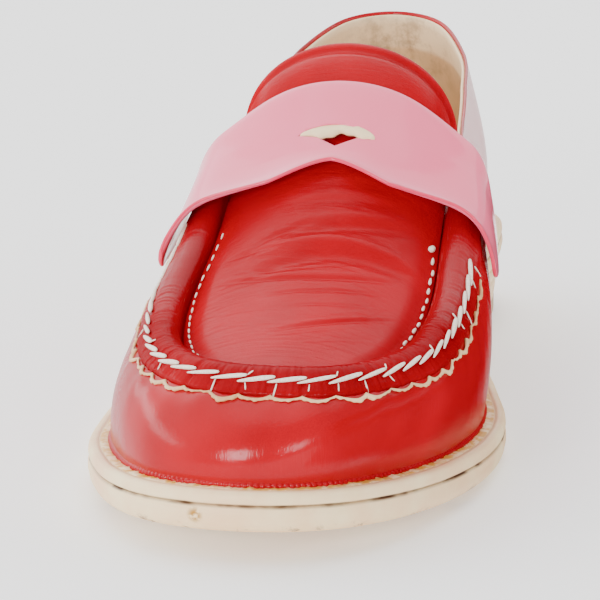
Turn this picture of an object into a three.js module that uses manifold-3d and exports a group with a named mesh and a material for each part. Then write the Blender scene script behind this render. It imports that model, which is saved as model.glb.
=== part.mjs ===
import * as THREE from "three";
import { mergeVertices } from "three/addons/utils/BufferGeometryUtils.js";
import Module from "manifold-3d";

// A penny loafer for the right foot, in millimetres. +Z is up, the toe points to -Y and the
// inner (medial) side of the foot is +X. The origin is on the floor, under the middle of the sole.

const wasm = await Module();
wasm.setup();

// Sole and heel sizes
const outsoleLength = 276;
const ballWidth = 97;
const outsoleThickness = 6.2;
const weltThickness = 3.2;
const toeSpring = 7.4;
const heelHeight = 16.2;
const topLiftThickness = 4.5;
const heelTaper = 2.2;
const soleEdgeBevel = 1.1;

// Where the tread leaves the floor and where it meets the heel, as shares of the outsole's length
const flatFrontShare = 0.345;
const flatBackShare = 0.4;
const heelSeatShare = 0.8;
const heelBreastShare = 0.735;

// Upper sizes
const weltMargin = 4.9;
const upperWall = 1.8;
const throatRise = 54;
const ridgeReach = 5.7;
const ridgeDrop = 4.9;
const ridgeInnerReach = 3.6;
const ridgeInnerDrop = 5.6;
const lapThickness = 1.0;

// Apron, tongue, strap and insole sizes
const apronThickness = 1.6;
const apronRecess = 3.4;
const tongueTuck = 3.2;
const strapThickness = 1.9;
const strapTailHeight = 42.5;
const strapNotch = 4.4;
const strapNotchWidth = 27;
const strapCornerRadius = 5;
const slotWidth = 19;
const slotHeight = 7.4;
const slotShare = 0.42;
const insoleThickness = 2.8;

// Pieces that touch in the real shoe stand this far apart
const clearance = 0.3;

// The sections of the last run from the toe tip to the heel back, one row each in the tables below.
// Places along the shoe are shares of the outsole's length, sideways places are shares of the ball's
// width (outer side negative), and rises over the welt and crowns are shares of the throat's rise.

// The sole's edge on both sides
const soleRows = [
  { at: 0.000, outer: 0.000, inner: 0.000 },
  { at: 0.010, outer: -0.150, inner: 0.130 },
  { at: 0.035, outer: -0.258, inner: 0.232 },
  { at: 0.075, outer: -0.343, inner: 0.320 },
  { at: 0.130, outer: -0.412, inner: 0.396 },
  { at: 0.200, outer: -0.470, inner: 0.456 },
  { at: 0.280, outer: -0.497, inner: 0.491 },
  { at: 0.360, outer: -0.505, inner: 0.489 },
  { at: 0.450, outer: -0.491, inner: 0.437 },
  { at: 0.550, outer: -0.445, inner: 0.354 },
  { at: 0.650, outer: -0.393, inner: 0.309 },
  { at: 0.750, outer: -0.359, inner: 0.309 },
  { at: 0.850, outer: -0.343, inner: 0.316 },
  { at: 0.930, outer: -0.300, inner: 0.286 },
  { at: 0.981, outer: -0.178, inner: 0.182 },
  { at: 1.000, outer: 0.004, inner: 0.004 },
];

// The wall of the upper on the outer side: its top edge, and the leans in degrees with which it leaves
// the welt outwards and reaches the top edge inwards. Up to the strap the top edge is the crest of the
// seam round the apron, and behind the strap it is the topline.
const outerWallRows = [
  { at: 0.078, x: 0.048, rise: 0.465, foot: 12, top: 66 },
  { at: 0.082, x: -0.044, rise: 0.465, foot: 12, top: 65 },
  { at: 0.098, x: -0.130, rise: 0.470, foot: 11, top: 63 },
  { at: 0.127, x: -0.200, rise: 0.482, foot: 8, top: 60 },
  { at: 0.163, x: -0.250, rise: 0.502, foot: 4, top: 54 },
  { at: 0.209, x: -0.284, rise: 0.545, foot: 1, top: 40 },
  { at: 0.267, x: -0.297, rise: 0.640, foot: 0, top: 30 },
  { at: 0.334, x: -0.277, rise: 0.800, foot: 0, top: 27 },
  { at: 0.405, x: -0.257, rise: 1.010, foot: 1, top: 24 },
  { at: 0.463, x: -0.250, rise: 1.120, foot: 2, top: 22 },
  { at: 0.550, x: -0.262, rise: 0.960, foot: 4, top: 18 },
  { at: 0.648, x: -0.286, rise: 0.820, foot: 6, top: 12 },
  { at: 0.765, x: -0.298, rise: 0.830, foot: 7, top: 11 },
  { at: 0.865, x: -0.272, rise: 0.925, foot: 9, top: 14 },
  { at: 0.938, x: -0.180, rise: 1.020, foot: 9, top: 15 },
  { at: 0.968, x: -0.034, rise: 1.045, foot: 9, top: 15 },
];

// The same for the inner side
const innerWallRows = [
  { at: 0.078, x: 0.048, rise: 0.465, foot: 12, top: 66 },
  { at: 0.082, x: 0.138, rise: 0.465, foot: 12, top: 65 },
  { at: 0.099, x: 0.218, rise: 0.470, foot: 12, top: 62 },
  { at: 0.129, x: 0.283, rise: 0.484, foot: 11, top: 56 },
  { at: 0.168, x: 0.330, rise: 0.506, foot: 10, top: 46 },
  { at: 0.219, x: 0.357, rise: 0.555, foot: 9, top: 34 },
  { at: 0.281, x: 0.369, rise: 0.655, foot: 8, top: 23 },
  { at: 0.345, x: 0.363, rise: 0.810, foot: 7, top: 17 },
  { at: 0.410, x: 0.353, rise: 1.000, foot: 5, top: 18 },
  { at: 0.468, x: 0.339, rise: 1.110, foot: 4, top: 18 },
  { at: 0.556, x: 0.312, rise: 0.950, foot: 4, top: 13 },
  { at: 0.650, x: 0.278, rise: 0.815, foot: 4, top: 9 },
  { at: 0.765, x: 0.246, rise: 0.830, foot: 5, top: 10 },
  { at: 0.865, x: 0.204, rise: 0.925, foot: 9, top: 14 },
  { at: 0.938, x: 0.112, rise: 1.020, foot: 9, top: 15 },
  { at: 0.968, x: -0.034, rise: 1.045, foot: 9, top: 15 },
];

// How far the top edge is a raised seam (1) or a folded topline (0), and the apron's crown
const apronRows = [
  { seam: 1.0, crown: 0.020 },
  { seam: 1.0, crown: 0.030 },
  { seam: 1.0, crown: 0.050 },
  { seam: 1.0, crown: 0.080 },
  { seam: 1.0, crown: 0.110 },
  { seam: 1.0, crown: 0.150 },
  { seam: 1.0, crown: 0.170 },
  { seam: 1.0, crown: 0.215 },
  { seam: 0.6, crown: 0.270 },
  { seam: 0.0, crown: 0.445 },
  { seam: 0.0, crown: 0.500 },
  { seam: 0.0, crown: 0.500 },
  { seam: 0.0, crown: 0.500 },
  { seam: 0.0, crown: 0.500 },
  { seam: 0.0, crown: 0.500 },
  { seam: 0.0, crown: 0.500 },
];
const lastRow = soleRows.length - 1;

// How finely each form is faceted
const stationsPerRow = 3;
const wallPoints = 8;
const apronPoints = 14;
const strapLines = 9;
const strapPoints = 42;
const easingPasses = 12;

const up = new THREE.Vector3(0, 0, 1);

/** A smooth curve through rows of numbers, with a tangent from each row's neighbours. */
function rowSpline(knots, rows) {
  const tangents = rows.map((row, i) => {
    const before = Math.max(i - 1, 0);
    const after = Math.min(i + 1, rows.length - 1);
    const back = Math.max(knots[i] - knots[before], 1e-9);
    const ahead = Math.max(knots[after] - knots[i], 1e-9);
    return row.map((value, k) => {
      const slopeBack = (value - rows[before][k]) / back;
      const slopeAhead = (rows[after][k] - value) / ahead;
      if (before === i) return slopeAhead;
      if (after === i) return slopeBack;
      return (slopeBack * ahead + slopeAhead * back) / (back + ahead);
    });
  });
  return (t) => {
    let i = 0;
    while (i < knots.length - 2 && t > knots[i + 1]) i += 1;
    const span = knots[i + 1] - knots[i];
    const s = (t - knots[i]) / span;
    const fromStart = (1 + 2 * s) * (1 - s) ** 2;
    const slopeStart = s * (1 - s) ** 2 * span;
    const fromEnd = s * s * (3 - 2 * s);
    const slopeEnd = s * s * (s - 1) * span;
    return rows[i].map((value, k) => {
      const leaving = value * fromStart + tangents[i][k] * slopeStart;
      const arriving = rows[i + 1][k] * fromEnd + tangents[i + 1][k] * slopeEnd;
      return leaving + arriving;
    });
  };
}

/** One control point of the loop round the shoe, for a row of the tables on one side. */
function loopRow(row, outerSide) {
  const sole = soleRows[row];
  const wall = outerSide ? outerWallRows[row] : innerWallRows[row];
  const { seam, crown } = apronRows[row];
  return [
    (outerSide ? sole.outer : sole.inner) * ballWidth,
    sole.at * outsoleLength,
    wall.x * ballWidth,
    wall.at * outsoleLength,
    wall.rise * throatRise,
    wall.foot,
    wall.top,
    seam,
    crown * throatRise,
  ];
}

// The loop runs from the heel back along the inner side to the toe tip (row 0) and along the outer
// side to the heel back again. Two rows past each end make the closed curve smooth there. A place on
// it is a row number: negative on the inner side, positive on the outer side.
const loopPlaces = [];
for (let place = -lastRow - 2; place <= lastRow + 2; place += 1) loopPlaces.push(place);
const loopRows = loopPlaces.map((place) => {
  const wrapped = Math.abs(place) > lastRow ? place - 2 * lastRow * Math.sign(place) : place;
  return loopRow(Math.abs(wrapped), wrapped >= 0);
});
const loopKnots = [0];
for (let i = 1; i < loopRows.length; i += 1) {
  const [x0, y0] = loopRows[i - 1];
  const [x1, y1] = loopRows[i];
  loopKnots.push(loopKnots[i - 1] + Math.hypot(x1 - x0, y1 - y0));
}
const loopCurve = rowSpline(loopKnots, loopRows);

/** The loop's numbers at a row place, from -lastRow to lastRow. */
function loopAt(place) {
  const index = Math.min(Math.max(place + lastRow + 2, 0), loopKnots.length - 1.000001);
  const low = Math.floor(index);
  const knot = loopKnots[low] + (index - low) * (loopKnots[low + 1] - loopKnots[low]);
  const [soleX, soleY, topX, topY, rise, foot, lean, seam, crown] = loopCurve(knot);
  return { soleX, soleY, topX, topY, rise, foot, lean, seam: Math.min(Math.max(seam, 0), 1), crown };
}

/** The outward unit normal, seen from above, of the loop that the two named numbers draw. */
function outwardNormal(place, xName, yName) {
  const step = 0.02;
  const before = loopAt(place - step);
  const after = loopAt(place + step);
  const along = new THREE.Vector3(after[xName] - before[xName], after[yName] - before[yName], 0);
  return new THREE.Vector3(-along.y, along.x, 0).normalize();
}

/** Height of the outsole's underside at a distance from the toe tip. */
function treadHeight(y) {
  const at = Math.min(Math.max(y / outsoleLength, 0), 1);
  if (at < flatFrontShare) return toeSpring * (1 - at / flatFrontShare) ** 1.5;
  return heelHeight * THREE.MathUtils.smoothstep(at, flatBackShare, heelSeatShare);
}

/** The sole's outline at a place, moved in by a margin, at a height above the tread. */
function soleEdge(place, margin, height) {
  const { soleX, soleY } = loopAt(place);
  const normal = outwardNormal(place, "soleX", "soleY");
  const x = soleX - normal.x * margin;
  const y = soleY - normal.y * margin;
  return new THREE.Vector3(x, y, treadHeight(y) + height);
}

/** The crest of the apron seam, or the topline behind the strap. */
function topEdge(place) {
  const { topX, topY, rise } = loopAt(place);
  return new THREE.Vector3(topX, topY, treadHeight(topY) + outsoleThickness + weltThickness + rise);
}

/** A point beside the top edge: outwards, and up. */
function besideTop(place, outwards, upwards) {
  return topEdge(place)
    .addScaledVector(outwardNormal(place, "topX", "topY"), outwards)
    .addScaledVector(up, upwards);
}

/** Upright, leaned by an angle in degrees towards a level direction. */
function leaning(direction, angle) {
  const lean = THREE.MathUtils.degToRad(angle);
  return direction.clone().multiplyScalar(Math.sin(lean)).addScaledVector(up, Math.cos(lean));
}

/** The outer face of the wall from the welt up to the lap of the seam, as points and normals. */
function wallFace(place) {
  const { foot, lean, seam } = loopAt(place);
  const standing = soleEdge(place, weltMargin + clearance, outsoleThickness + clearance);
  const start = soleEdge(place, weltMargin + clearance, outsoleThickness + weltThickness);
  const end = besideTop(place, ridgeReach * seam, -ridgeDrop * seam - upperWall * 0.5 * (1 - seam));
  const startOut = outwardNormal(place, "soleX", "soleY");
  const endOut = outwardNormal(place, "topX", "topY");
  const reach = 0.38 * start.distanceTo(end);
  const leave = leaning(startOut, foot);
  const arrive = leaning(endOut, -lean);
  const curve = new THREE.CubicBezierCurve3(
    start,
    start.clone().addScaledVector(leave, reach),
    end.clone().addScaledVector(arrive, -reach),
    end,
  );
  const face = [{ point: standing, normal: startOut }];
  for (let j = 0; j <= wallPoints; j += 1) {
    const point = curve.getPoint(j / wallPoints);
    const tangent = curve.getTangent(j / wallPoints);
    const out = startOut.clone().lerp(endOut, j / wallPoints);
    const normal = out.addScaledVector(tangent, -out.dot(tangent)).normalize();
    face.push({ point, normal });
  }
  return face;
}

// The bead of the seam and the plain folded edge of the topline, as steps outwards and upwards from
// the top edge. The upper's edge turns from one into the other under the strap.
const seamProfile = [
  [ridgeReach + 0.25 * lapThickness, -ridgeDrop + lapThickness],
  [ridgeReach * 0.62, -ridgeDrop * 0.36],
  [ridgeReach * 0.25, -ridgeDrop * 0.05],
  [-ridgeInnerReach * 0.42, -ridgeDrop * 0.08],
  [-ridgeInnerReach * 0.92, -ridgeDrop * 0.4],
  [-ridgeInnerReach, -ridgeInnerDrop],
];
const foldProfile = [
  [0, -upperWall * 0.36],
  [-upperWall * 0.1, -upperWall * 0.14],
  [-upperWall * 0.32, 0],
  [-upperWall * 0.68, 0],
  [-upperWall * 0.9, -upperWall * 0.14],
  [-upperWall, -upperWall * 0.36],
];

/** The closed section of the upper at a place: outer face, seam or folded edge, and lining face. */
function upperSection(place) {
  const { seam } = loopAt(place);
  const face = wallFace(place);
  const edge = seamProfile.map(([outwards, upwards], k) => {
    const [foldOut, foldUp] = foldProfile[k];
    return besideTop(
      place,
      THREE.MathUtils.lerp(foldOut, outwards, seam),
      THREE.MathUtils.lerp(foldUp, upwards, seam),
    );
  });
  const lining = face.map(({ point, normal }) => point.clone().addScaledVector(normal, -upperWall));
  return [...face.map(({ point }) => point), ...edge, ...lining.reverse()];
}

/** A solid from vertices and triangles, with doubles merged and its faces turned outwards. */
function solidGeometry(points, triangles) {
  const loose = new THREE.BufferGeometry().setFromPoints(points);
  loose.setIndex(triangles);
  const merged = mergeVertices(loose, 1e-3);
  const index = merged.index.array;
  const position = merged.attributes.position;
  const corner = (i) => new THREE.Vector3().fromBufferAttribute(position, i);
  const kept = [];
  let volume = 0;
  for (let i = 0; i < index.length; i += 3) {
    const [a, b, c] = [index[i], index[i + 1], index[i + 2]];
    if (a === b || b === c || a === c) continue;
    kept.push(a, b, c);
    volume += corner(a).dot(corner(b).cross(corner(c)));
  }
  if (volume < 0) kept.reverse();
  merged.setIndex(kept);
  return merged;
}

/** A closed ring of closed sections, such as the upper or the welt. */
function ringSolid(rings) {
  const count = rings[0].length;
  const triangles = [];
  rings.forEach((ring, i) => {
    const next = (i + 1) % rings.length;
    ring.forEach((point, j) => {
      const side = (j + 1) % count;
      const [a, b, c, d] = [i * count + j, i * count + side, next * count + side, next * count + j];
      triangles.push(a, b, c, a, c, d);
    });
  });
  return solidGeometry(rings.flat(), triangles);
}

/** A sheet with thickness, from a grid of its upper points and one of its lower points. */
function sheetSolid(upper, lower) {
  const lines = upper.length;
  const count = upper[0].length;
  const under = lines * count;
  const at = (i, j) => i * count + j;
  const triangles = [];
  const quad = (a, b, c, d) => triangles.push(a, b, c, a, c, d);
  for (let i = 0; i < lines - 1; i += 1) {
    for (let j = 0; j < count - 1; j += 1) {
      quad(at(i, j), at(i + 1, j), at(i + 1, j + 1), at(i, j + 1));
      quad(under + at(i, j), under + at(i, j + 1), under + at(i + 1, j + 1), under + at(i + 1, j));
    }
    quad(at(i, 0), under + at(i, 0), under + at(i + 1, 0), at(i + 1, 0));
    quad(at(i, count - 1), at(i + 1, count - 1), under + at(i + 1, count - 1), under + at(i, count - 1));
  }
  for (let j = 0; j < count - 1; j += 1) {
    quad(at(0, j), at(0, j + 1), under + at(0, j + 1), under + at(0, j));
    const end = lines - 1;
    quad(at(end, j), under + at(end, j), under + at(end, j + 1), at(end, j + 1));
  }
  return solidGeometry([...upper.flat(), ...lower.flat()], triangles);
}

/** Row places from one row to another, in equal steps. */
function places(from, to, steps) {
  return Array.from({ length: steps + 1 }, (_, i) => from + ((to - from) * i) / steps);
}

/** The row places at which forms along the loop have their sections, between two rows. */
function stations(from, to) {
  return places(from, to, Math.round((to - from) * stationsPerRow));
}

/**
 * A sole-shaped slab between two rows, built from levels that each give a margin inside the sole's
 * edge and a height function. Its top and bottom follow the heights from row to row.
 */
function soleSlab(fromRow, toRow, levels) {
  const rows = stations(fromRow, toRow);
  const steps = rows.length - 1;
  const outline = [...rows, ...rows.map((row) => -row).reverse()];
  const points = levels.flatMap(({ margin, height }) =>
    outline.map((place) => {
      const point = soleEdge(place, margin, 0);
      point.z = height(point.y);
      return point;
    }),
  );
  const count = outline.length;
  const triangles = [];
  levels.slice(1).forEach((_, level) => {
    for (let i = 0; i < count; i += 1) {
      const side = (i + 1) % count;
      const [a, b] = [level * count + i, level * count + side];
      triangles.push(a, b, b + count, a, b + count, a + count);
    }
  });
  const topStart = (levels.length - 1) * count;
  for (let i = 0; i < steps; i += 1) {
    const mirror = count - 1 - i;
    triangles.push(i, mirror, mirror - 1, i, mirror - 1, i + 1);
    triangles.push(topStart + i, topStart + mirror - 1, topStart + mirror);
    triangles.push(topStart + i, topStart + i + 1, topStart + mirror - 1);
  }
  return solidGeometry(points, triangles);
}

/** Row place where the sole's edge is at a share of the outsole's length. */
function rowOfShare(share) {
  const row = soleRows.findIndex(({ at }) => at > share);
  const { at } = soleRows[row - 1];
  return row - 1 + (share - at) / (soleRows[row].at - at);
}

function outsole() {
  const top = (y) => treadHeight(y) + outsoleThickness;
  return soleSlab(0, lastRow, [
    { margin: soleEdgeBevel, height: treadHeight },
    { margin: 0, height: (y) => treadHeight(y) + soleEdgeBevel },
    { margin: 0, height: (y) => top(y) - 0.4 * soleEdgeBevel },
    { margin: 0.4 * soleEdgeBevel, height: top },
  ]);
}

/** The strip that the upper stands in, with a groove for its stitches. */
function welt() {
  const low = outsoleThickness + clearance;
  const high = outsoleThickness + weltThickness;
  const groove = 0.55 * weltMargin;
  const section = [
    [0.3 * soleEdgeBevel, low],
    [0, low + 0.3 * soleEdgeBevel],
    [0, high - 0.5 * soleEdgeBevel],
    [0.5 * soleEdgeBevel, high],
    [groove - 0.5, high],
    [groove, high - 0.6],
    [groove + 0.5, high],
    [weltMargin, high - 0.1],
    [weltMargin, low],
  ];
  return ringSolid(
    stations(-lastRow, lastRow)
      .slice(1)
      .map((place) => section.map(([margin, height]) => soleEdge(place, margin, height))),
  );
}

function heelBlock(margins, bottomHeight, topHeight) {
  return soleSlab(rowOfShare(heelBreastShare), lastRow, [
    { margin: margins[0], height: bottomHeight },
    { margin: margins[1], height: topHeight },
  ]);
}

function topLift() {
  return heelBlock([heelTaper, heelTaper], () => 0, () => topLiftThickness);
}

function heelStack() {
  return heelBlock(
    [heelTaper, 0.3 * heelTaper],
    () => topLiftThickness + clearance,
    (y) => treadHeight(y) - clearance,
  );
}

function insole() {
  const margin = weltMargin + upperWall + 2 * clearance;
  const low = outsoleThickness + clearance;
  const round = 0.3 * insoleThickness;
  return soleSlab(0, lastRow, [
    { margin, height: (y) => treadHeight(y) + low },
    { margin, height: (y) => treadHeight(y) + low + insoleThickness - round },
    { margin: margin + round, height: (y) => treadHeight(y) + low + insoleThickness },
  ]);
}

function upper() {
  return ringSolid(stations(-lastRow, lastRow).slice(1).map(upperSection));
}

// The apron starts at the seam's front, runs back under the strap and ends as the tongue
const apronFrontRow = 1 / stationsPerRow;
const throatRow = 9;
const tongueEndRow = throatRow + 1 / stationsPerRow;

/** How far a row place is into the change from apron to tongue, from 0 to 1. */
function tongueShare(row) {
  return THREE.MathUtils.smoothstep(row, throatRow - 2, throatRow);
}

/** The side edge of the apron and tongue: beside the seam's bead, then tucked inside the quarter. */
function apronEdge(place) {
  const share = tongueShare(Math.abs(place));
  const inside = THREE.MathUtils.lerp(ridgeInnerReach + clearance, upperWall + 2 * clearance, share);
  const below = THREE.MathUtils.lerp(apronRecess, tongueTuck, share);
  return besideTop(place, -inside, -below);
}

/** A line of points across the apron from the outer edge to the inner edge. */
function apronLine(row, count) {
  const from = apronEdge(row);
  const to = apronEdge(-row);
  const { crown } = loopAt(row);
  const fullness = THREE.MathUtils.lerp(1, 0.42, tongueShare(row));
  return places(-1, 1, count).map((w) => {
    const spread = Math.sin((w * Math.PI) / 2);
    const point = from.clone().lerp(to, (spread + 1) / 2);
    point.z += crown * (1 - spread * spread) ** fullness;
    return point;
  });
}

/** Moves each point of a grid along the surface's normal. */
function offsetGrid(grid, distance) {
  return grid.map((line, i) =>
    line.map((point, j) => {
      const along = grid[Math.min(i + 1, grid.length - 1)][j].clone().sub(grid[Math.max(i - 1, 0)][j]);
      const across = line[Math.min(j + 1, line.length - 1)].clone().sub(line[Math.max(j - 1, 0)]);
      return point.clone().addScaledVector(across.cross(along).normalize(), distance);
    }),
  );
}

function apron() {
  const grid = stations(apronFrontRow, tongueEndRow).map((row) => apronLine(row, apronPoints));
  return sheetSolid(grid, offsetGrid(grid, -apronThickness));
}

// The rows under the strap's front and back edges
const strapFrontRow = 7.15;
const strapBackRow = 8.55;

/** The line that the strap lies on at a row: up one wall, over the crests and apron, down the other. */
function strapBed(row) {
  const wall = (place) => wallFace(place).map(({ point }) => point);
  const crest = (place) => besideTop(place, 0.4 * ridgeReach, 0);
  return [...wall(row), crest(row), ...apronLine(row, 40), crest(-row), ...wall(-row).reverse()];
}

/** The upper side of the convex outline round points, seen from the front, hanging to below the tails. */
function tautLine(points) {
  const sorted = [...points].sort((a, b) => a.x - b.x || a.z - b.z);
  const hanging = [sorted[0], sorted[sorted.length - 1]].map((point) => point.clone().setZ(0));
  const hull = [];
  for (const point of sorted) {
    while (hull.length > 1) {
      const [a, b] = hull.slice(-2);
      const turn = (b.x - a.x) * (point.z - a.z) - (b.z - a.z) * (point.x - a.x);
      if (turn < 0) break;
      hull.pop();
    }
    hull.push(point);
  }
  return [hanging[0], ...hull, hanging[1]];
}

/** Where a line of points, seen from the front, is met by a direction from a centre. */
function metBy(line, centre, direction) {
  const sideOf = (point) => (point.x - centre.x) * direction.z - (point.z - centre.z) * direction.x;
  for (let i = 1; i < line.length; i += 1) {
    const [before, after] = [sideOf(line[i - 1]), sideOf(line[i])];
    if (before <= 0 && after >= 0) return line[i - 1].clone().lerp(line[i], before / (before - after));
  }
  throw new Error("The strap's direction misses its bed");
}

/** A grid of numbers, each averaged with its neighbours. */
function smoothed(grid) {
  const at = (list, i) => list[Math.min(Math.max(i, 0), list.length - 1)];
  const average = (before, value, after) => (before + 2 * value + after) / 4;
  const eased = grid.map((line) => line.map((value, j) => average(at(line, j - 1), value, at(line, j + 1))));
  return eased.map((line, i) =>
    line.map((value, j) => average(at(eased, i - 1)[j], value, at(eased, i + 1)[j])),
  );
}

/**
 * The strap's underside: a fan of directions from a centre line at the height of its tails meets the
 * taut lines over the bed, and the distances are smoothed and let out so that none cuts the bed.
 */
function strapUnderside() {
  const shares = places(0, 1, strapLines);
  const middleLine = [strapFrontRow, strapBackRow].map((row) => apronLine(row, 2)[1]);
  const rays = shares.map((share) => {
    const row = THREE.MathUtils.lerp(strapFrontRow, strapBackRow, share);
    const taut = tautLine(strapBed(row));
    const centre = middleLine[0].clone().lerp(middleLine[1], share).setZ(strapTailHeight);
    const fromSide = Math.min(share, 1 - share) * middleLine[0].distanceTo(middleLine[1]);
    const corner = Math.max(1 - fromSide / strapCornerRadius, 0);
    const rise = strapCornerRadius * (1 - Math.sqrt(1 - corner * corner));
    const lift = Math.asin(rise / (0.42 * ballWidth));
    return places(Math.PI - lift, lift, strapPoints).map((angle) => {
      const direction = new THREE.Vector3(Math.cos(angle), 0, Math.sin(angle));
      const met = metBy(taut, centre, direction);
      const reach = Math.hypot(met.x - centre.x, met.z - centre.z);
      return { centre: centre.clone().setY(met.y), direction, reach };
    });
  });
  const reaches = rays.map((line) => line.map(({ reach }) => reach));
  let eased = reaches;
  for (let pass = 0; pass < easingPasses; pass += 1) {
    eased = smoothed(eased).map((line, i) => line.map((reach, j) => Math.max(reach, reaches[i][j])));
  }
  eased = smoothed(smoothed(eased));
  const letOut = Math.max(...reaches.flatMap((line, i) => line.map((reach, j) => reach - eased[i][j])));
  return rays.map((line, i) =>
    line.map(({ centre, direction }, j) =>
      centre.clone().addScaledVector(direction, eased[i][j] + letOut + 2 * clearance),
    ),
  );
}

/** The penny slot's cutter: a straight upper edge and a V below, driven square through the strap. */
function slotCutter(centre, slope) {
  const half = slotWidth / 2;
  const shape = new THREE.Shape();
  shape.moveTo(-half, 0.3 * slotHeight);
  shape.quadraticCurveTo(0, 0.62 * slotHeight, half, 0.3 * slotHeight);
  shape.lineTo(0, -0.5 * slotHeight);
  shape.closePath();
  const depth = 8 * strapThickness;
  const geometry = new THREE.ExtrudeGeometry(shape, { depth, bevelEnabled: false, curveSegments: 8 });
  geometry.translate(0, 0, -depth / 2);
  geometry.rotateX(slope);
  geometry.translate(centre.x, centre.y, centre.z);
  return geometry;
}

/** A manifold-3d solid of a closed geometry. */
function manifoldOf(geometry) {
  const bare = geometry.index ? geometry.toNonIndexed() : geometry.clone();
  bare.deleteAttribute("normal");
  bare.deleteAttribute("uv");
  const merged = mergeVertices(bare, 1e-3);
  return new wasm.Manifold(
    new wasm.Mesh({
      numProp: 3,
      vertProperties: merged.attributes.position.array,
      triVerts: new Uint32Array(merged.index.array),
    }),
  );
}

/** The geometry of a manifold-3d solid. */
function geometryOf(solid) {
  const { vertProperties, triVerts } = solid.getMesh();
  return new THREE.BufferGeometry()
    .setAttribute("position", new THREE.BufferAttribute(vertProperties, 3))
    .setIndex(new THREE.BufferAttribute(triVerts, 1));
}

/** How far the V in the strap's front edge pulls a point back. */
function notchPull(point, centre, share) {
  const across = Math.abs(point.x - centre.x) / (0.5 * strapNotchWidth);
  return strapNotch * Math.max(0, 1 - across) * (1 - share) ** 3;
}

/** The middle point of a line of points. */
function middleOf(line) {
  return line[Math.floor(line.length / 2)];
}

function strap() {
  const flat = strapUnderside();
  const [front, back] = [flat[0], flat.at(-1)];
  const lower = flat.map((line, i) =>
    line.map((point, j) => {
      const pull = notchPull(point, middleOf(line), i / (flat.length - 1));
      return point.clone().addScaledVector(back[j].clone().sub(front[j]).normalize(), pull);
    }),
  );
  const top = offsetGrid(lower, strapThickness);
  const [before, after] = [middleOf(top[0]), middleOf(top.at(-1))];
  const centre = before.clone().lerp(after, slotShare);
  const slope = Math.atan2(after.z - before.z, after.y - before.y);
  return geometryOf(manifoldOf(sheetSolid(top, lower)).subtract(manifoldOf(slotCutter(centre, slope))));
}

const materials = {
  redPatent: new THREE.MeshStandardMaterial({ color: 0xd0141c, roughness: 0.12, metalness: 0 }),
  pinkPatent: new THREE.MeshStandardMaterial({ color: 0xf2a0b4, roughness: 0.2, metalness: 0 }),
  paleLeather: new THREE.MeshStandardMaterial({ color: 0xeed9bb, roughness: 0.7, metalness: 0 }),
  liningLeather: new THREE.MeshStandardMaterial({ color: 0xdcc7a4, roughness: 0.8, metalness: 0 }),
  paleRubber: new THREE.MeshStandardMaterial({ color: 0xcdb592, roughness: 0.85, metalness: 0 }),
};

const loafer = new THREE.Group();

// The middle of the sole's box goes over the origin
const outline = stations(-lastRow, lastRow).map((place) => soleEdge(place, 0, 0));
const soleBox = new THREE.Box3().setFromPoints(outline);
const middle = soleBox.getCenter(new THREE.Vector3());
loafer.position.set(-middle.x, -middle.y, 0);

function add(name, geometry, material) {
  const mesh = new THREE.Mesh(geometry, material);
  mesh.name = name;
  loafer.add(mesh);
}

add("outsole", outsole(), materials.paleLeather);
add("welt", welt(), materials.paleLeather);
add("heel_stack", heelStack(), materials.paleLeather);
add("heel_top_lift", topLift(), materials.paleRubber);
add("insole", insole(), materials.liningLeather);
add("upper", upper(), materials.redPatent);
add("apron_tongue", apron(), materials.redPatent);
add("saddle_strap", strap(), materials.pinkPatent);

const shoe = new THREE.Group();
shoe.add(loafer);

export default shoe;
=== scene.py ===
"""A patent penny loafer for the right foot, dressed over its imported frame.

The toe points to -Y, the inner side of the foot is +X and up is +Z. The last is described in
millimetres, measured from the toe tip, and every piece is turned into metres in the frame's place.
"""

import logging
import math
from collections.abc import Callable, Sequence
from dataclasses import dataclass, field
from enum import StrEnum

import bmesh
import bpy
import numpy as np
from mathutils import Matrix, Vector


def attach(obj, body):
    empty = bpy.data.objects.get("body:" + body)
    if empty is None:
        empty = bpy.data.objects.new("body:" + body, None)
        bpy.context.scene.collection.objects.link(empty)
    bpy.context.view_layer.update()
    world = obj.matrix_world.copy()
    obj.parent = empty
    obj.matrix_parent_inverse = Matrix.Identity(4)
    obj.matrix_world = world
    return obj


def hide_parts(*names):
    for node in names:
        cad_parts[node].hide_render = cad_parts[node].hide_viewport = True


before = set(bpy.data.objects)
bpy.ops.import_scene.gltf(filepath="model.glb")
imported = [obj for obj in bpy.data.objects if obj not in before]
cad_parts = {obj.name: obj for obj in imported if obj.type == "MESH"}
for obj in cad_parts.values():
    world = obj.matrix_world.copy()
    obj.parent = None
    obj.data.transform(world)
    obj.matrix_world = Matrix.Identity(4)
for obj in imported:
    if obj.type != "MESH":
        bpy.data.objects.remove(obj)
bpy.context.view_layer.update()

log = logging.getLogger("loafer")

MILLIMETRE = 0.001
MERGED_WITHIN = 1e-6
FLAT_WITHIN = 1e-7
CLEAR_COAT_IOR = 1.4
UP = np.array([0.0, 0.0, 1.0])

Points = np.ndarray
Profile = Sequence[tuple[float, float]]
Colour = tuple[float, float, float, float]


class Slot(StrEnum):
    """The record's material slots."""

    SOLE = "sole_leather"
    WELT = "welt_leather"
    HEEL = "heel_leather"
    TOP_LIFT = "top_lift_rubber"
    INSOLE = "insole_leather"
    RED = "red_patent"
    PINK = "pink_patent"


class Join(StrEnum):
    """Ways to join two numbers of a material into one."""

    SUM = "ADD"
    DIFFERENCE = "SUBTRACT"
    PRODUCT = "MULTIPLY"
    HIGHER = "MAXIMUM"
    SIZE = "ABSOLUTE"


@dataclass(frozen=True)
class SoleRow:
    """The sole's edge at one section: shares of the outsole's length and the ball's width."""

    at: float
    outer: float
    inner: float


@dataclass(frozen=True)
class WallRow:
    """The upper's top edge at one section, and its wall's leans at the welt and at the top."""

    at: float
    x: float
    rise: float
    foot: float
    top: float


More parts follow.
